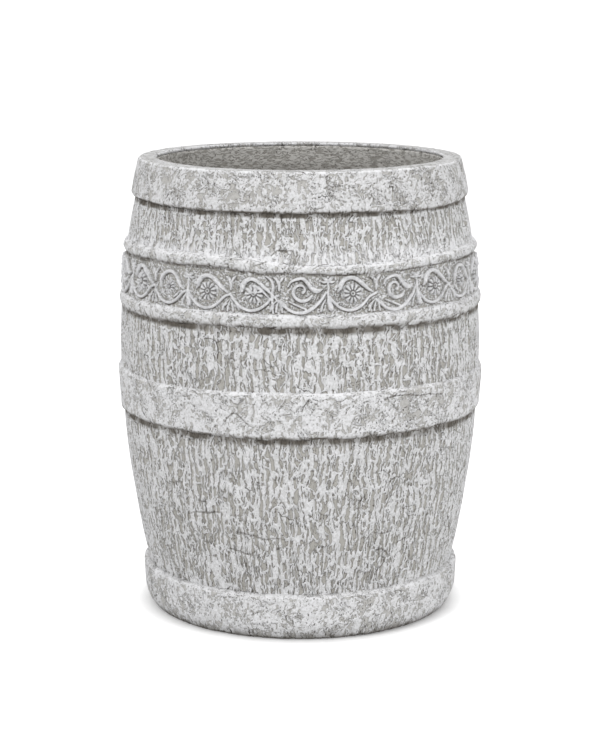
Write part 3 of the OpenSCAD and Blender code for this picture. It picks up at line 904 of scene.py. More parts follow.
def floor_concrete():
    """Trowelled concrete of the floor, unwashed: mid grey with damp clouds and sand grains."""
    finish = bpy.context.scene.planter_finish
    material, tree = blank_material("Cast concrete, floated floor")
    where = add(tree, "ShaderNodeTexCoord").outputs["Object"]
    # Sand of 1 mm, clouds of 45 mm and float marks of 11 mm
    sand = add(tree, "ShaderNodeTexNoise", {"Vector": where, "Scale": 900.0, "Detail": 3.0})
    clouds = {"Vector": where, "Scale": 22.0, "Detail": 5.0, "Roughness": 0.6}
    clouds = add(tree, "ShaderNodeTexNoise", clouds)
    float_marks = {"Vector": where, "Scale": 90.0, "Detail": 4.0, "Distortion": 1.2}
    float_marks = add(tree, "ShaderNodeTexNoise", float_marks)
    mixed = add(tree, "ShaderNodeMath", [clouds, 0.7], operation="MULTIPLY")
    mixed = add(tree, "ShaderNodeMath", [sand, 0.4, mixed], operation="MULTIPLY_ADD")
    mixed = add(tree, "ShaderNodeMapRange", [mixed, 0.35, 0.75])
    mixed = {"Factor": mixed, 6: (*finish.inner_dark, 1), 7: (*finish.inner, 1)}
    colour = add(tree, "ShaderNodeMix", mixed, data_type="RGBA")
    height = add(tree, "ShaderNodeMath", [float_marks, 2.5, sand], operation="MULTIPLY_ADD")
    bump = add(tree, "ShaderNodeBump", {"Strength": 0.5, "Distance": 0.6 * MM, "Height": height})
    dull_surface(tree, colour, 0.92, bump)
    return material


def moulded_rubber():
    """Compression-moulded rubber: near black, dull, with a bloom and a fine mould grain."""
    finish = bpy.context.scene.planter_finish
    material, tree = blank_material("Moulded rubber")
    where = add(tree, "ShaderNodeTexCoord").outputs["Object"]
    # Mould grain of 0.7 mm under a bloom in patches of 8 mm
    grain = add(tree, "ShaderNodeTexNoise", {"Vector": where, "Scale": 1400.0, "Detail": 2.0})
    bloom = add(tree, "ShaderNodeTexNoise", {"Vector": where, "Scale": 120.0, "Detail": 4.0})
    dusty = add(tree, "ShaderNodeMapRange", {0: bloom, 1: 0.45, 2: 0.7, 4: 0.35})
    dust = (*linear("5A5A5C"), 1)
    colour = add(tree, "ShaderNodeMix", {"Factor": dusty, 6: (*finish.rubber, 1), 7: dust}, data_type="RGBA")
    bump = add(tree, "ShaderNodeBump", {"Strength": 0.25, "Distance": 0.1 * MM, "Height": grain})
    dull_surface(tree, colour, 0.62, bump, ior=1.52, shine=0.5)
    return material


# Walls and bands


def columns_for(node, grain):
    """How many columns of mesh, a grain apart, go round a node."""
    return int(2 * math.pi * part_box(node)[1].x / grain)


def varied_round(theta, seed, base=0.7, vary=0.3):
    """How strong a mark is round the barrel: the dirt and painted shade of an undercut, a brushed edge that
    is partly painted highlight, and a run of wash.
    """
    return np.clip(base + waves(theta, vary, seed, 5, 90, 0.4), 0, 1.3)


def by_turn(theta, knots):
    """Value at each azimuth, eased between knots (degrees, value) all round the barrel."""
    degrees, values = np.array(knots).T
    fine = np.linspace(-180, 180, 721)
    line = np.interp(fine, degrees, values, period=360)
    ease = np.hanning(17) / np.hanning(17).sum()
    line = np.convolve(np.r_[line[-9:-1], line, line[1:9]], ease, "valid")
    return np.interp(np.degrees(np.mod(theta + math.pi, 2 * math.pi) - math.pi), fine, line)


def brushed_and_highlit_edge(normal, theta, seed):
    """Where the brush has caught the upper edge of a band, painted brighter as thick wash and as a highlight.
    """
    edge = smooth(0.35, 0.6, normal[:, 1:]) * smooth(-0.1, 0.3, normal[:, :1])
    return edge * varied_round(theta, seed, 0.8)


def edge_waver(z_low, z_high, size, seed, lift_low=((0, 0),), lift_high=((0, 0),), dent=0.35 * MM):
    """Stray of a band: each edge wanders up and down on its own, and the face in and out.

    The lifts are knots (degrees, mm) of where an edge lies off the CAD model's."""

    def waver(loop, theta):
        share = np.clip((loop[:, 1] - z_low) / (z_high - z_low), 0, 1)[:, None]
        outer = smooth(-0.6, 0.2, outward(loop)[:, 0])[:, None]
        low = waves(theta, size, seed) + by_turn(theta, lift_low) * MM
        high = waves(theta, size * 0.7, seed + 1) + by_turn(theta, lift_high) * MM
        face = waves(theta, dent, seed + 2, 3, 60, 0.7)
        dz = (low * (1 - share) + high * share) * outer
        # The face is set back by three dents, so that it swells inside the CAD model's
        dr = (face - 3 * dent) * outer
        return dr, dz

    return waver


class PLANTER_OT_walls(bpy.types.Operator):
    """Build the bark-like lengths of wall between the bands"""

    bl_idname = "planter.walls"
    bl_label = "Walls"

    def execute(self, context):
        sizes = context.scene.planter_casting
        grains = {"front": 1.5 * MM, "top": 3 * MM, "under": 3 * MM, "back": 12 * MM}
        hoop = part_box("upper_hoop")[1].z
        # Each length of wall, how many pieces it is made in, and how far down its dirt and painted shadow
        # reach
        for node, parts, reach in (("lower_wall", 2, 8), ("middle_wall", 1, 6), ("upper_wall", 1, 4)):
            face = wall_face(node, hoop - MM if node == "upper_wall" else 0)
            z_high = face[-1, 1]

            def ribbed(loop, theta):
                """Sinks the main furrows into the outer face alone."""
                return -furrows(loop, theta, sizes) * (outward(loop)[:, :1] > 0.5), 0

            def dirty(loop, theta, normal):
                """Painted shadow and dirt gather under the band above, and the hoop's wash runs up the upper
                wall.
                """
                below = z_high - loop[:, 1:]
                # Under the band above: dirt and painted shadow, with a thin line of painted shadow close
                # under it
                under = smooth(reach * MM, 0.5 * MM, below) * varied_round(theta, len(node), 0.6, 0.2)
                line = smooth(3.6 * MM, 1.6 * MM, below) * varied_round(theta, 40, 0.3, 0.25)
                smear = smooth(12 * MM, 2 * MM, loop[:, 1:] - hoop) * varied_round(theta, 93, 0.7)
                return under + line - smear * (node == "upper_wall")

            loop = worn_loop(skin_loop(face, sizes.skin, 9 * MM), 0.5 * MM, grains)
            turn = 2 * math.pi / parts
            columns = columns_for(node, sizes.bark_grain) // parts
            for i in range(parts):
                start = turn * (i - 0.5)
                name = f"{node}_skin_{i + 1}"
                piece = spin(name, loop, columns, dirty, ribbed, start, turn, node=node)
                cast_piece(piece, "bark", [node])
        return {"FINISHED"}


# The upper hoop is uneven: knots (degrees, mm) of its two edges off the CAD model's
HOOP_LOW = [(-75, 3), (-45, 6), (-24, 6.5), (-12, 2), (-2, 3.6), (12, 1.6), (27, 3), (45, 5), (75, 3.5)]
HOOP_HIGH = [(-60, 0), (-18, 0), (-12, -1), (-6, -5), (2, -7.5), (14, -7.5), (32, -6.5), (50, -4), (70, -2)]


class PLANTER_OT_bands(bpy.types.Operator):
    """Build the hoops and the belly band"""

    bl_idname = "planter.bands"
    bl_label = "Hoops and belly band"

    def execute(self, context):
        sizes = context.scene.planter_casting
        grains = {"front": sizes.grain, "top": sizes.grain * 1.5, "under": sizes.grain * 1.5, "back": 8 * MM}
        # Node, style, seed, share of the waver, and where its two edges lie off the CAD model's
        rows = [
            ("upper_hoop", "bead", 31, 0.7, HOOP_LOW, HOOP_HIGH),
            ("lower_hoop", "bead", 41, 0.7, ((0, 1.2),), ((0, 2.6),)),
            ("belly_band", "plaster", 51, 0.9, ((0, 1.6),), ((0, -2),)),
        ]
        for node, style, seed, stray, lift_low, lift_high in rows:
            low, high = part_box(node)
            loop = worn_loop(skin_loop(face_line(node), sizes.skin), 1.1 * MM, grains)

            def dirty(loop, theta, normal):
                """The underside is darkened as dirt and as painted shade, and the upper edge that the brush
                has caught is painted brighter, as thick wash and as a highlight.
                """
                under = smooth(0.15, 0.7, -normal[:, 1:]) * (normal[:, :1] > 0.02)
                return under * varied_round(theta, seed + 60, 0.8) - brushed_and_highlit_edge(normal, theta, seed + 70)

            waver = edge_waver(low.z, high.z, sizes.waver * stray, seed, lift_low, lift_high)
            columns = columns_for(node, sizes.grain)
            piece = spin(f"{node}_skin", loop, columns, dirty, waver, node=node)
            cast_piece(piece, style, [node])
        return {"FINISHED"}


class PLANTER_OT_foot(bpy.types.Operator):
    """Build the foot band that the planter stands on"""

    bl_idname = "planter.foot"
    bl_label = "Foot"

    def execute(self, context):
        sizes = context.scene.planter_casting
        low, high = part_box("foot_ring")
        grains = {"front": sizes.grain, "top": sizes.grain * 1.5, "under": 4 * MM, "back": 8 * MM}
        loop = worn_loop(section("foot_ring"), 1.0 * MM, grains)
        stray = edge_waver(low.z, high.z, sizes.waver * 0.8, 61, lift_high=((0, -9.5),))

        def waver(points, theta):
            """The foot stays level where it meets the ground."""
            dr, dz = stray(points, theta)
            return dr, dz * smooth(0.1, 0.6, (points[:, 1:] - low.z) / (high.z - low.z))

        def dirty(points, theta, normal):
            """Splash dirt and painted shade near the ground, darkest at the floor, and a brushed upper edge
            painted brighter as thick wash and as a highlight.
            """
            near = smooth(14 * MM, 0, points[:, 1:]) * (normal[:, :1] > 0.02)
            contact_shade_and_dirt = smooth(6 * MM, 1 * MM, points[:, 1:])
            return np.maximum(contact_shade_and_dirt, near * varied_round(theta, 71, 0.6)) - brushed_and_highlit_edge(normal, theta, 72)

        piece = spin("foot_band_skin", loop, columns_for("foot_ring", sizes.grain), dirty, waver)
        cast_piece(piece, "plaster", ["foot_ring"])
        return {"FINISHED"}


class PLANTER_OT_rim(bpy.types.Operator):
    """Build the battered rim collar"""

    bl_idname = "planter.rim"
    bl_label = "Rim collar"

    def execute(self, context):
        sizes = context.scene.planter_casting
        low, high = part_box("rim_collar")
        grain = sizes.grain
        grains = {"front": grain * 1.05, "top": grain * 1.3, "under": grain * 2, "back": 5 * MM}
        loop = section("rim_collar")
        # Below the mouth, the collar's inner face lies behind the inner wall
        inner = outward(loop)[:, 0] < -0.3
        drop = high.z - loop[:, 1]
        loop[:, 0] += inner * 6 * MM * smooth(2 * MM, 7 * MM, drop)
        loop = worn_loop(loop, 0.9 * MM, grains)
        stray = edge_waver(low.z, high.z, sizes.waver, 21, lift_low=((0, 1.6),))

        def waver(points, theta):
            """The collar's top stays level."""
            dr, dz = stray(points, theta)
            return dr, dz * smooth(0.8, 0.3, (points[:, 1:] - low.z) / (high.z - low.z))

        def dirty(points, theta, normal):
            """A thin film of dirt, more darkening on the underside as dirt and painted shade, and upward
            corners that the brush has caught, painted brighter as thick wash and as a highlight.
            """
            under = smooth(0.2, 0.8, -normal[:, 1:]) * (normal[:, :1] > -0.2)
            corner = smooth(0.3, 0.6, normal[:, 1:]) * smooth(0.98, 0.85, normal[:, 1:])
            return 0.13 + under * varied_round(theta, 70, 0.9, 0.2) - corner * varied_round(theta, 73, 0.9)

        columns = columns_for("rim_collar", sizes.grain)
        piece = spin("rim_skin", loop, columns, dirty, waver, node="rim_collar")
        cast_piece(piece, "plaster", ["rim_collar"])
        return {"FINISHED"}


class PLANTER_OT_inside(bpy.types.Operator):
    """Build the trowelled inner wall, from the floor's cove to the mouth"""

    bl_idname = "planter.inside"
    bl_label = "Inner wall"

    def execute(self, context):
        nodes = ["foot_ring", "lower_wall", "belly_band", "middle_wall", "upper_wall", "rim_collar"]
        rows = np.vstack([corners(node)[0] for node in nodes])
        rows = rows[np.argsort(rows[:, 1])]
        z = np.arange(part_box("floor_slab")[1].z - 6 * MM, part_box("rim_collar")[1].z - 2 * MM, 2 * MM)
        face = np.c_[np.interp(z, rows[:, 1], rows[:, 0]), z]
        loop = np.vstack([face[::-1], face + [5 * MM, 0]])
        grains = {"front": 12 * MM, "top": 3 * MM, "under": 3 * MM, "back": 2.6 * MM}
        loop = worn_loop(loop, 0.5 * MM, grains)
        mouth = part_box("rim_collar")[1].z

        def dirty(points, theta, normal):
            """Damp soiling below the mouth, where the wall meets the soil."""
            drop = mouth - points[:, 1:]
            return 0.5 * smooth(16 * MM, 40 * MM, drop) - 0.3 * smooth(50 * MM, 200 * MM, drop)

        piece = spin("inner_wall", loop, columns_for("rim_collar", 4 * MM), dirty)
        cast_piece(piece, "trowelled", nodes)
        return {"FINISHED"}


# Frieze


# Strokes of each motif, in millimetres from its middle: [along, up, width], height, flutes
VINE = [
    [-26.5, -1, 3.4], [-21, -8, 3.8], [-14, -14.5, 4], [-5, -17.6, 4],
    [4, -16.4, 4], [12, -11.5, 3.8], [19, -4.5, 3.5], [26.5, -1, 3.4],
]
STROKES = {
    "R": [
        (VINE, 2.2, 0),
        ([
            [-13.5, 5.5, 4.4], [-12.4, 10, 6.4], [-8, 15, 6], [-1.5, 16.8, 5.2],
            [5, 14.8, 5.6], [11, 10.2, 5.6], [17, 4.6, 4.2], [23, 0.6, 3],
        ], 2.8, 0.15),
        ([[-16, 2, 2], [-14.6, 4, 3.4], [-13.8, 6, 2]], 1.8, 0),
        ([[17.5, -15, 2], [20, -13, 3.6], [22.5, -11.5, 2]], 2, 0),
    ],
    "Q": [
        (VINE, 2.2, 0),
        ([
            [-13.2, 3, 4.6], [-12.6, 8.5, 6.4], [-8.6, 13.8, 6], [-2, 15.6, 5],
            [5, 12.4, 5.2], [12, 6.6, 4.4], [19, 0.4, 3.4], [24.5, -5.5, 2.4],
        ], 2.8, 0.2),
        ([[-3.6, 8.6, 1.6], [1.6, 7.8, 4.2], [7.4, 5, 4.4], [13, -0.4, 3], [18, -5, 2]], 2.6, 0),
        ([[-6, 4.6, 4.4], [-4.6, 3, 5.6], [-3.4, 1.4, 4.4]], 3.2, 0),
        ([[1.2, 4.4, 4.4], [1.8, 3, 5.6], [1.4, 1.2, 4.4]], 3.2, 0),
        ([
            [21, -20, 2.6], [20.2, -10, 3.2], [19.6, 0, 3.6], [20.8, 8, 3.6],
            [18.4, 14.6, 3.4], [13, 19, 2.6],
        ], 2.3, 0),
    ],
    "S": [
        ([
            [-26.5, -7, 3.4], [-19, -13.6, 3.8], [-9, -19, 4.2], [1.5, -18.8, 4.6],
            [11, -13.6, 4.4], [18.6, -6.4, 3.8], [24, 2, 3],
        ], 2.3, 0),
        ([[-15, -8, 2], [-7, -11.4, 3], [2.5, -15.6, 3]], 1.9, 0),
        ([
            [-16.4, 8, 1.8], [-13.6, 12.8, 3], [-7.6, 15.7, 3.8], [-1, 16.5, 4.2], [3.9, 12.6, 5],
            [8, 7.4, 6], [13, 3.8, 6.6], [17, 4, 4.4], [20.6, 5.6, 1.6],
        ], 2.9, 0),
        ([
            [9.4, -0.8, 2], [4.4, -5.6, 4.2], [-2.8, -6.8, 4.6], [-8.4, -3.6, 4.4], [-10.6, 1.4, 4.2],
            [-9.2, 6.6, 3.8], [-4.8, 9.6, 3.6], [-0.4, 8.6, 3.4], [1.6, 4.8, 3.2], [-0.6, 1.9, 4],
        ], 2.7, 0),
        ([[6, -9.8, 1.4], [8.4, -5.6, 1.6], [10.4, -3, 1.2]], 1.4, 0),
        ([[9.6, -9, 1.4], [11.8, -5, 1.6], [13.6, -2.4, 1.2]], 1.4, 0),
        ([[13.2, -7.4, 1.4], [15, -3.6, 1.6], [16.4, -1.2, 1.2]], 1.4, 0),
    ],
    "F": [
        (VINE, 2.2, 0),
        ([
            [-14, -2, 3], [-14.6, 5, 4.6], [-11, 12, 4.8], [-4, 16, 4.6],
            [4, 15.6, 4.6], [10.6, 10.6, 4.8], [14.6, 3.4, 4.4], [20, -0.6, 3],
        ], 2.7, 0.2),
        ([[6, -10.6, 2], [10, -8, 3.4], [13.4, -4, 2.4]], 1.8, 0),
        ([[-6, -11, 2], [-10, -8, 3.4], [-13, -4, 2.4]], 1.8, 0),
    ],
    "tie": [
        ([[0, 12, 2.6], [0.6, 6, 3], [0, -1, 3.4]], 2.4, 0),
        ([[0, -3, 3], [1.4, -9, 5.6], [3.2, -15.4, 6.6]], 2.7, 0.15),
        ([[4.4, -8, 2], [8, -10.6, 3.6], [12.4, -9.4, 2]], 2.2, 0),
        ([[-2.6, -6, 2], [-6, -12, 3], [-7.4, -18.4, 2.6]], 2, 0),
        ([[-5, 17, 2.6], [-2.6, 15.6, 4], [0, 14, 2.6]], 2.6, 0),
        ([[5.4, 17, 2.6], [3, 15.6, 4], [0.4, 14, 2.6]], 2.6, 0),
        ([[-7, 13, 2], [-4, 12.4, 3.4], [-0.6, 12.6, 2.4]], 2.2, 0),
        ([[7.4, 13, 2], [4.4, 12.4, 3.4], [0.8, 12.6, 2.4]], 2.2, 0),
    ],
    "fan": [
        ([[0, -6, 1.6], [-6, -12, 2.8], [-8.4, -18.6, 2.6]], 2, 0.2),
        ([[0.6, -7, 1.6], [-1.6, -14, 2.8], [-2.4, -19.2, 2.6]], 2, 0.2),
        ([[1.2, -7, 1.6], [3.4, -14, 2.8], [4.4, -19.2, 2.6]], 2, 0.2),
        ([[1.8, -6, 1.6], [7.6, -11.6, 2.8], [10.6, -17.6, 2.6]], 2, 0.2),
        ([[-5, 17, 2.2], [-1.4, 14.6, 4], [0.8, 9, 4.2], [0.6, 3.4, 2.4]], 2.3, 0.2),
        ([[6, 18, 1.6], [3.6, 15.6, 3.4], [1.6, 12, 2]], 2, 0),
    ],
}
# Drilled dots of a motif, in millimetres along and up from its middle, and how big they are
DRILLED = {
    "tie": [(-3.6, 16.2), (4, 16.2)],
    "fan": [(-4.4, -16.6), (0.9, -17.2), (6.4, -15.6), (0.1, 16)],
}
DRILL_RADIUS = 1.0
DRILL_DEPTH = 1.6
# Waves by which the carving varies in height: radians a millimetre along and up, and their start
CHISEL = [
    (0.31, 0.22, 0), (0.17, -0.41, 2), (-0.53, 0.37, 4), (0.88, 0.61, 1), (-0.7, 1.13, 3), (1.37, -0.45, 5),
]
# Height of a full leaf as its stroke is drawn, in millimetres, whose place the relief setting takes
DRAWN_RELIEF = 2.8
# Half the length and half the height of the window that a motif is drawn in, in millimetres
REACH_ALONG, REACH_UP = 34, 25


def frieze_relief(loop, theta, sizes, middle_z, middle_r):
    """Height of the carved vine over the frieze, in metres, what is raised, and the dirt and painted shadow
    beside it.
    """
    v = (loop[:, 1] - middle_z) / MM
    face = np.flatnonzero((outward(loop)[:, 0] > 0.5) & (abs(v) < REACH_UP))
    pitch = 2 * math.pi / len(sizes.order)
    height = np.zeros((len(loop), len(theta)))
    gap = np.full((len(loop), len(theta)), 9.0)
    rng = np.random.default_rng(5)
    for i, kind in enumerate(sizes.order):
        # A tie or a fan stands half a step before each motif
        for name, shift in ((kind, 0.0), ("tie" if kind == "R" else "fan", -0.5)):
            nudge = rng.uniform(-0.35, 0.35, 2)
            centre = sizes.turn + pitch * (i + shift)
            s = (np.mod(theta - centre + math.pi, 2 * math.pi) - math.pi) * middle_r / MM + nudge[0]
            near = np.flatnonzero(abs(s) < REACH_ALONG)
            if not len(near):
                continue
            grid_s, grid_v = np.meshgrid(s[near], v[face] + nudge[1])
            window = np.ix_(face, near)
            for points, rise, flute in STROKES[name]:
                thin = np.array(points) * [1, 1, sizes.stroke]
                tall = rise / DRAWN_RELIEF * sizes.relief / MM
                high, away = stroke(grid_s, grid_v, thin, tall, flute)
                height[window] = np.maximum(height[window], high)
                gap[window] = np.minimum(gap[window], away)
            for hole_s, hole_v in DRILLED.get(name, []):
                d = np.hypot(grid_s - hole_s, grid_v - hole_v) / DRILL_RADIUS
                height[window] -= DRILL_DEPTH * np.exp(-(d**4))
    along = theta * middle_r / MM
    cloud = sum(np.sin(along * a + v[:, None] * b + c) for a, b, c in CHISEL) / len(CHISEL)
    height *= 1 + 0.3 * cloud
    # The ground is cut in beside a stroke, and darkened there as dirt and as painted shadow, the most below
    # the stroke
    foot = smooth(1.6, 0.3, gap) * smooth(-0.4, 0.1, gap)
    rise = np.gradient(gap, axis=0) / np.maximum(abs(np.gradient(v))[:, None], 1e-3)
    # Painted shadow: the darkening grows where the ground lies below a stroke
    foot *= 0.35 + 0.65 * smooth(-0.2, -0.8, rise)
    raised = smooth(0.5, 1.3, height)
    return (height - 0.6 * foot) * MM, raised, foot


def frieze_ground():
    """Heights of the frieze's lower and upper edge, and the radius of its ground at a height."""
    z_low, z_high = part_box("lower_hoop")[1].z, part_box("upper_hoop")[0].z
    _, rows = corners("upper_wall")
    r_low, r_high = np.interp([z_low, z_high], rows[:, 1], rows[:, 0])
    slope = (r_high - r_low) / (z_high - z_low)

    def radius(z):
        return r_low + slope * (z - z_low)

    return z_low, z_high, slope, radius


class PLANTER_OT_frieze(bpy.types.Operator):
    """Carve the vine scroll between the hoops"""

    bl_idname = "planter.frieze"
    bl_label = "Frieze"

    def execute(self, context):
        sizes = context.scene.planter_frieze
        z_low, z_high, _, radius = frieze_ground()
        z = np.arange(z_low - 6 * MM, z_high + 9.5 * MM, FINE_STEP)
        face = np.c_[radius(z), z]
        grains = {"front": sizes.grain, "top": 3 * MM, "under": 3 * MM, "back": 8 * MM}
        loop = worn_loop(skin_loop(face, context.scene.planter_casting.skin), 0.5 * MM, grains)
        middle_z = (z_low + z_high) / 2 + sizes.lift
        middle_r = radius(middle_z)
        columns = int(math.pi * middle_r / sizes.grain)
        carved = {}

        def raise_by(points, theta):
            """The carving, with its dirt kept for the call of dirty that follows."""
            high, raised, foot = frieze_relief(points, theta, sizes, middle_z, middle_r)
            carved["foot"] = foot
            return high, raised

        def dirty(points, theta, normal):
            """Dirt and painted shadow lie along the carving, the most below each stroke, under the upper hoop
            and over the lower one.
            """
            edge = z_high + by_turn(theta, HOOP_LOW) * MM
            high = 0.8 * smooth(2.4 * MM, 0.2 * MM, edge - points[:, 1:])
            low = 0.4 * smooth(2 * MM, 0, points[:, 1:] - z_low)
            beside = carved["foot"] * varied_round(theta, 81, 0.9, 0.25)
            return beside + (high + low) * varied_round(theta, 80, 0.9)

        for name, start in (("frieze_front", -math.pi / 2), ("frieze_back", math.pi / 2)):
            piece = spin(name, loop, columns, dirty, start=start, turn=math.pi, raise_by=raise_by)
            cast_piece(piece, "carved", ["upper_wall", "frieze_vine"])
        return {"FINISHED"}


ROSETTE_HEIGHT = 3.4 * MM


def rosette_mesh():
    """One rosette of unit radius and height: a drilled button in a ring of rounded petals."""
    petals = 11
    steps = petals * 9
    rings = np.array([0.04, 0.09, 0.14, 0.2, 0.25, 0.3, 0.36, 0.45, 0.55, 0.66, 0.77, 0.86, 0.93, 0.98, 1, 1])
    hub = np.interp(rings, [0, 0.07, 0.13, 0.2, 0.26, 0.3], [0.35, 0.45, 0.95, 1, 0.7, 0.35])
    petal = np.interp(rings, [0.3, 0.4, 0.7, 0.9, 0.98, 1.0], [0.35, 0.75, 0.95, 0.82, 0.5, 0.2])
    angle = 2 * math.pi * np.arange(steps) / steps
    lobe = np.abs(np.cos(angle * petals / 2))
    on_petal = smooth(0.25, 0.8, lobe)
    rings, hub, petal = rings[:, None], hub[:, None], petal[:, None]
    height = np.where(rings < 0.3, hub, petal * (0.25 + 0.75 * on_petal))
    radius = rings * (1 - 0.2 * smooth(0.6, 1, rings) * (1 - on_petal) ** 0.8)
    height[-1] = -0.6
    rows, cols = height.shape
    co = np.stack([radius * np.cos(angle), radius * np.sin(angle), height], axis=2).reshape(-1, 3)
    i, j = np.meshgrid(np.arange(rows - 1), np.arange(cols), indexing="ij")
    j2 = (j + 1) % cols
    quads = [i * cols + j, (i + 1) * cols + j, (i + 1) * cols + j2, i * cols + j2]
    quads = np.stack(quads, axis=2).reshape(-1, 4)
    caps = [np.arange(cols), (rows - 1) * cols + np.arange(cols)[::-1]]
    # Dirt and painted shade lie between the petals, round the button and in its drilled middle
    between = (1 - on_petal) * (rings > 0.3)
    ring_dirt = ((rings > 0.24) & (rings < 0.38)) | (rings < 0.1)
    dirt = np.maximum(0.9 * between, 0.8 * ring_dirt)
    nil = np.zeros(rows * cols)
    return mesh_object("rosette_pattern", co, quads, caps, level=nil, relief=nil + 1, dirt=dirt)


def rosette_tree():
    """Geometry Nodes that set a rosette on each point of the band, turned to face outwards."""
    tree = bpy.data.node_groups.new("Rosettes round the frieze", "GeometryNodeTree")
    sizes = {"Height": "Float", "Lean": "Float"}
    kinds = {"Geometry": "Geometry", "Rosette": "Object", **sizes, "Material": "Material"}
    for name, kind in kinds.items():
        tree.interface.new_socket(name, in_out="INPUT", socket_type=f"NodeSocket{kind}")
    tree.interface.new_socket("Geometry", in_out="OUTPUT", socket_type="NodeSocketGeometry")
    given = add(tree, "NodeGroupInput").outputs
    azimuth, radius, twist = (
        add(tree, "GeometryNodeInputNamedAttribute", {"Name": name}, data_type="FLOAT")
        for name in ("azimuth", "radius", "twist")
    )
    pattern = add(tree, "GeometryNodeObjectInfo", {"Object": given["Rosette"]})
    scale = add(tree, "ShaderNodeCombineXYZ", [radius, radius, given["Height"]])
    upright = add(tree, "ShaderNodeMath", [given["Lean"], math.pi / 2], operation="ADD")
    facing = add(tree, "ShaderNodeCombineXYZ", {0: upright, 2: azimuth})
    facing = add(tree, "FunctionNodeEulerToRotation", [facing])
    spun = add(tree, "ShaderNodeCombineXYZ", {2: twist})
    spun = add(tree, "FunctionNodeEulerToRotation", [spun])
    turned = add(tree, "FunctionNodeRotateRotation", [facing, spun], rotation_space="LOCAL")
    placed = {"Points": given["Geometry"], "Instance": pattern.outputs["Geometry"], "Rotation": turned}
    placed = add(tree, "GeometryNodeInstanceOnPoints", {**placed, "Scale": scale})
    return close_tree(tree, placed, given["Material"])


class PLANTER_OT_rosettes(bpy.types.Operator):
    """Set the rosettes and small flowers on the frieze"""

    bl_idname = "planter.rosettes"
    bl_label = "Rosettes"

    def execute(self, context):
        sizes = context.scene.planter_frieze
        z_low, z_high, slope, radius_at = frieze_ground()
        middle_z = (z_low + z_high) / 2 + sizes.lift
        ground = radius_at(middle_z)
        # Size of the rosette in each motif that has one, as a share of a full one
        share = {"R": 1.0, "Q": 1.0, "F": 0.68}
        rng = np.random.default_rng(9)
        pitch = 2 * math.pi / len(sizes.order)
        motifs = [(i, share[kind]) for i, kind in enumerate(sizes.order) if kind in share]
        step, radius = np.array(motifs).T
        azimuth = sizes.turn + pitch * step
        twist = rng.uniform(0, 2 * math.pi, len(motifs))
        co = np.c_[ground * np.sin(azimuth), -ground * np.cos(azimuth), np.full(len(motifs), middle_z)]
        mesh = bpy.data.meshes.new("frieze_rosettes_carved")
        mesh.from_pydata(co.tolist(), [], [])
        for key, values in (("azimuth", azimuth), ("radius", radius * sizes.rosette), ("twist", twist)):
            keep(mesh, key, values)
        piece = in_scene("frieze_rosettes_carved", mesh)
        pattern = rosette_mesh()
        values = {"Rosette": pattern, "Height": ROSETTE_HEIGHT, "Lean": math.atan(slope)}
        apply_tree(piece, rosette_tree(), {**values, "Material": cast_concrete("carved")})
        bpy.data.objects.remove(pattern)
        normals = np.empty(len(piece.data.vertices) * 3, np.float32)
        piece.data.vertex_normals.foreach_get("vector", normals)
        keep(piece.data, "out", normals, "FLOAT_VECTOR")
        cast_piece(piece, "carved", ["frieze_rosettes"])
        return {"FINISHED"}


class PLANTER_OT_floor_and_plug(bpy.types.Operator):
    """Finish the floor slab and the rubber drain plug"""

    bl_idname = "planter.floor_and_plug"
    bl_label = "Floor and plug"

    def execute(self, context):
        for node, material in (("floor_slab", floor_concrete()), ("drain_plug", moulded_rubber())):
            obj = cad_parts[node]
            obj.data.materials.clear()
            obj.data.materials.append(material)
        return {"FINISHED"}


def background_seen(tree):
    """One where a ray shows the background itself, by the camera, in gloss or through glass."""
    rays = add(tree, "ShaderNodeLightPath").outputs
    seen = add(tree, "ShaderNodeMath", [rays["Is Camera Ray"], rays["Is Glossy Ray"]], operation="MAXIMUM")
    return add(tree, "ShaderNodeMath", [seen, rays["Is Transmission Ray"]], operation="MAXIMUM")


# Name, place and size in metres, and power in watts
LAMPS = [
    ("key", (-1.7, -2.0, 2.3), 1.3, 34),
    ("fill", (2.2, -1.8, 1.0), 2.0, 24),
    ("top", (0, -0.2, 3.0), 1.6, 14),
    ("back", (0.9, 2.6, 1.6), 2.4, 16),
]
# Half the side of the white floor, in metres
FLOOR_HALF = 30.0


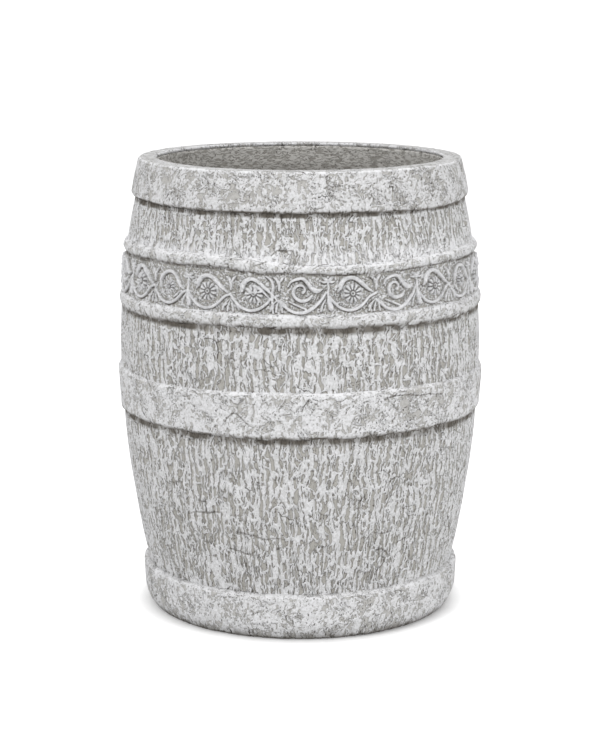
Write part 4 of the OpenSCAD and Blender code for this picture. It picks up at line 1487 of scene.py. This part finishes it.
class PLANTER_OT_stage(bpy.types.Operator):
    """Lay the white floor and set the soft light and the camera"""

    bl_idname = "planter.stage"
    bl_label = "Stage"

    def execute(self, context):
        scene = context.scene
        view = scene.planter_stage
        scene.view_settings.view_transform = "Standard"
        camera = in_scene("camera", bpy.data.cameras.new("camera"))
        camera.location = (0, -view.distance, view.height)
        camera.rotation_euler = (math.pi / 2 - view.pitch, 0, 0)
        camera.data.lens = view.lens
        camera.data.sensor_width = 36
        scene.camera = camera

        material, tree = blank_material("White floor")
        seen = background_seen(tree)
        # The floor is lifted to white away from the planter; beside the foot it glows less, which keeps the
        # cast shadow and paints a soft shadow round the foot as well
        where = add(tree, "ShaderNodeTexCoord").outputs["Object"]
        away = add(tree, "ShaderNodeVectorMath", [where], operation="LENGTH").outputs["Value"]
        lift = add(tree, "ShaderNodeMapRange", [away, 0.16, 0.215, 0.1, 0.7], interpolation_type="SMOOTHSTEP")
        lift = add(tree, "ShaderNodeMath", [seen, lift], operation="MULTIPLY")
        shade = add(tree, "ShaderNodeMix", {"Factor": seen, 2: 0.7, 3: 0.8}, data_type="FLOAT")
        paint = add(tree, "ShaderNodeBsdfDiffuse", {"Color": shade})
        glow = add(tree, "ShaderNodeEmission", {"Color": (1, 1, 1, 1), "Strength": lift})
        both = add(tree, "ShaderNodeAddShader", [paint, glow])
        add(tree, "ShaderNodeOutputMaterial", {"Surface": both})
        mesh = bpy.data.meshes.new("floor")
        square = [(x * FLOOR_HALF, y * FLOOR_HALF, 0) for x, y in ((-1, -1), (1, -1), (1, 1), (-1, 1))]
        mesh.from_pydata(square, [], [(0, 1, 2, 3)])
        mesh.materials.append(material)
        floor = in_scene("floor", mesh)

        world = bpy.data.worlds.new("studio")
        world.use_nodes = True
        scene.world = world
        tree = world.node_tree
        tree.nodes.clear()
        # A strength of 1 shows as white, and the light that falls on the planter is less
        strength = {"Factor": background_seen(tree), 2: 0.54, 3: 1.0}
        strength = add(tree, "ShaderNodeMix", strength, data_type="FLOAT")
        sky = add(tree, "ShaderNodeBackground", {"Color": (1, 1, 1, 1), "Strength": strength})
        add(tree, "ShaderNodeOutputWorld", {"Surface": sky})

        # Each lamp looks at the planter's axis, 0.3 m up
        for name, place, size, power in LAMPS:
            lamp = in_scene(name, bpy.data.lights.new(name, "AREA"))
            lamp.data.shape = "DISK"
            lamp.data.size = size
            lamp.data.energy = power
            lamp.location = place
            aim = Vector((0, 0, 0.3)) - lamp.location
            lamp.rotation_euler = aim.to_track_quat("-Z", "Y").to_euler()
        return {"FINISHED"}


STEPS = ["walls", "bands", "foot", "rim", "inside", "frieze", "rosettes", "floor_and_plug", "stage"]


class PLANTER_PT_panel(bpy.types.Panel):
    """Buttons for each group of pieces, in the order that they are built"""

    bl_label = "Concrete barrel planter"
    bl_idname = "PLANTER_PT_panel"
    bl_space_type = "VIEW_3D"
    bl_region_type = "UI"
    bl_category = "Planter"

    def draw(self, context):
        for step in STEPS:
            self.layout.operator(f"planter.{step}")
        for group in GROUPS:
            settings = getattr(context.scene, group)
            for name in settings.__annotations__:
                self.layout.prop(settings, name)


GROUPS = {
    "planter_finish": PlanterFinish,
    "planter_casting": PlanterCasting,
    "planter_frieze": PlanterFrieze,
    "planter_stage": PlanterStage,
}
CLASSES = [
    *GROUPS.values(), PLANTER_OT_walls, PLANTER_OT_bands, PLANTER_OT_foot, PLANTER_OT_rim, PLANTER_OT_inside,
    PLANTER_OT_frieze, PLANTER_OT_rosettes, PLANTER_OT_floor_and_plug, PLANTER_OT_stage, PLANTER_PT_panel,
]


def register():
    for cls in CLASSES:
        bpy.utils.register_class(cls)
    for name, cls in GROUPS.items():
        setattr(bpy.types.Scene, name, bpy.props.PointerProperty(type=cls))


def unregister():
    for name in GROUPS:
        delattr(bpy.types.Scene, name)
    for cls in reversed(CLASSES):
        bpy.utils.unregister_class(cls)


def main():
    register()
    for step in STEPS:
        getattr(bpy.ops.planter, step)()


if __name__ == "__main__":
    main()
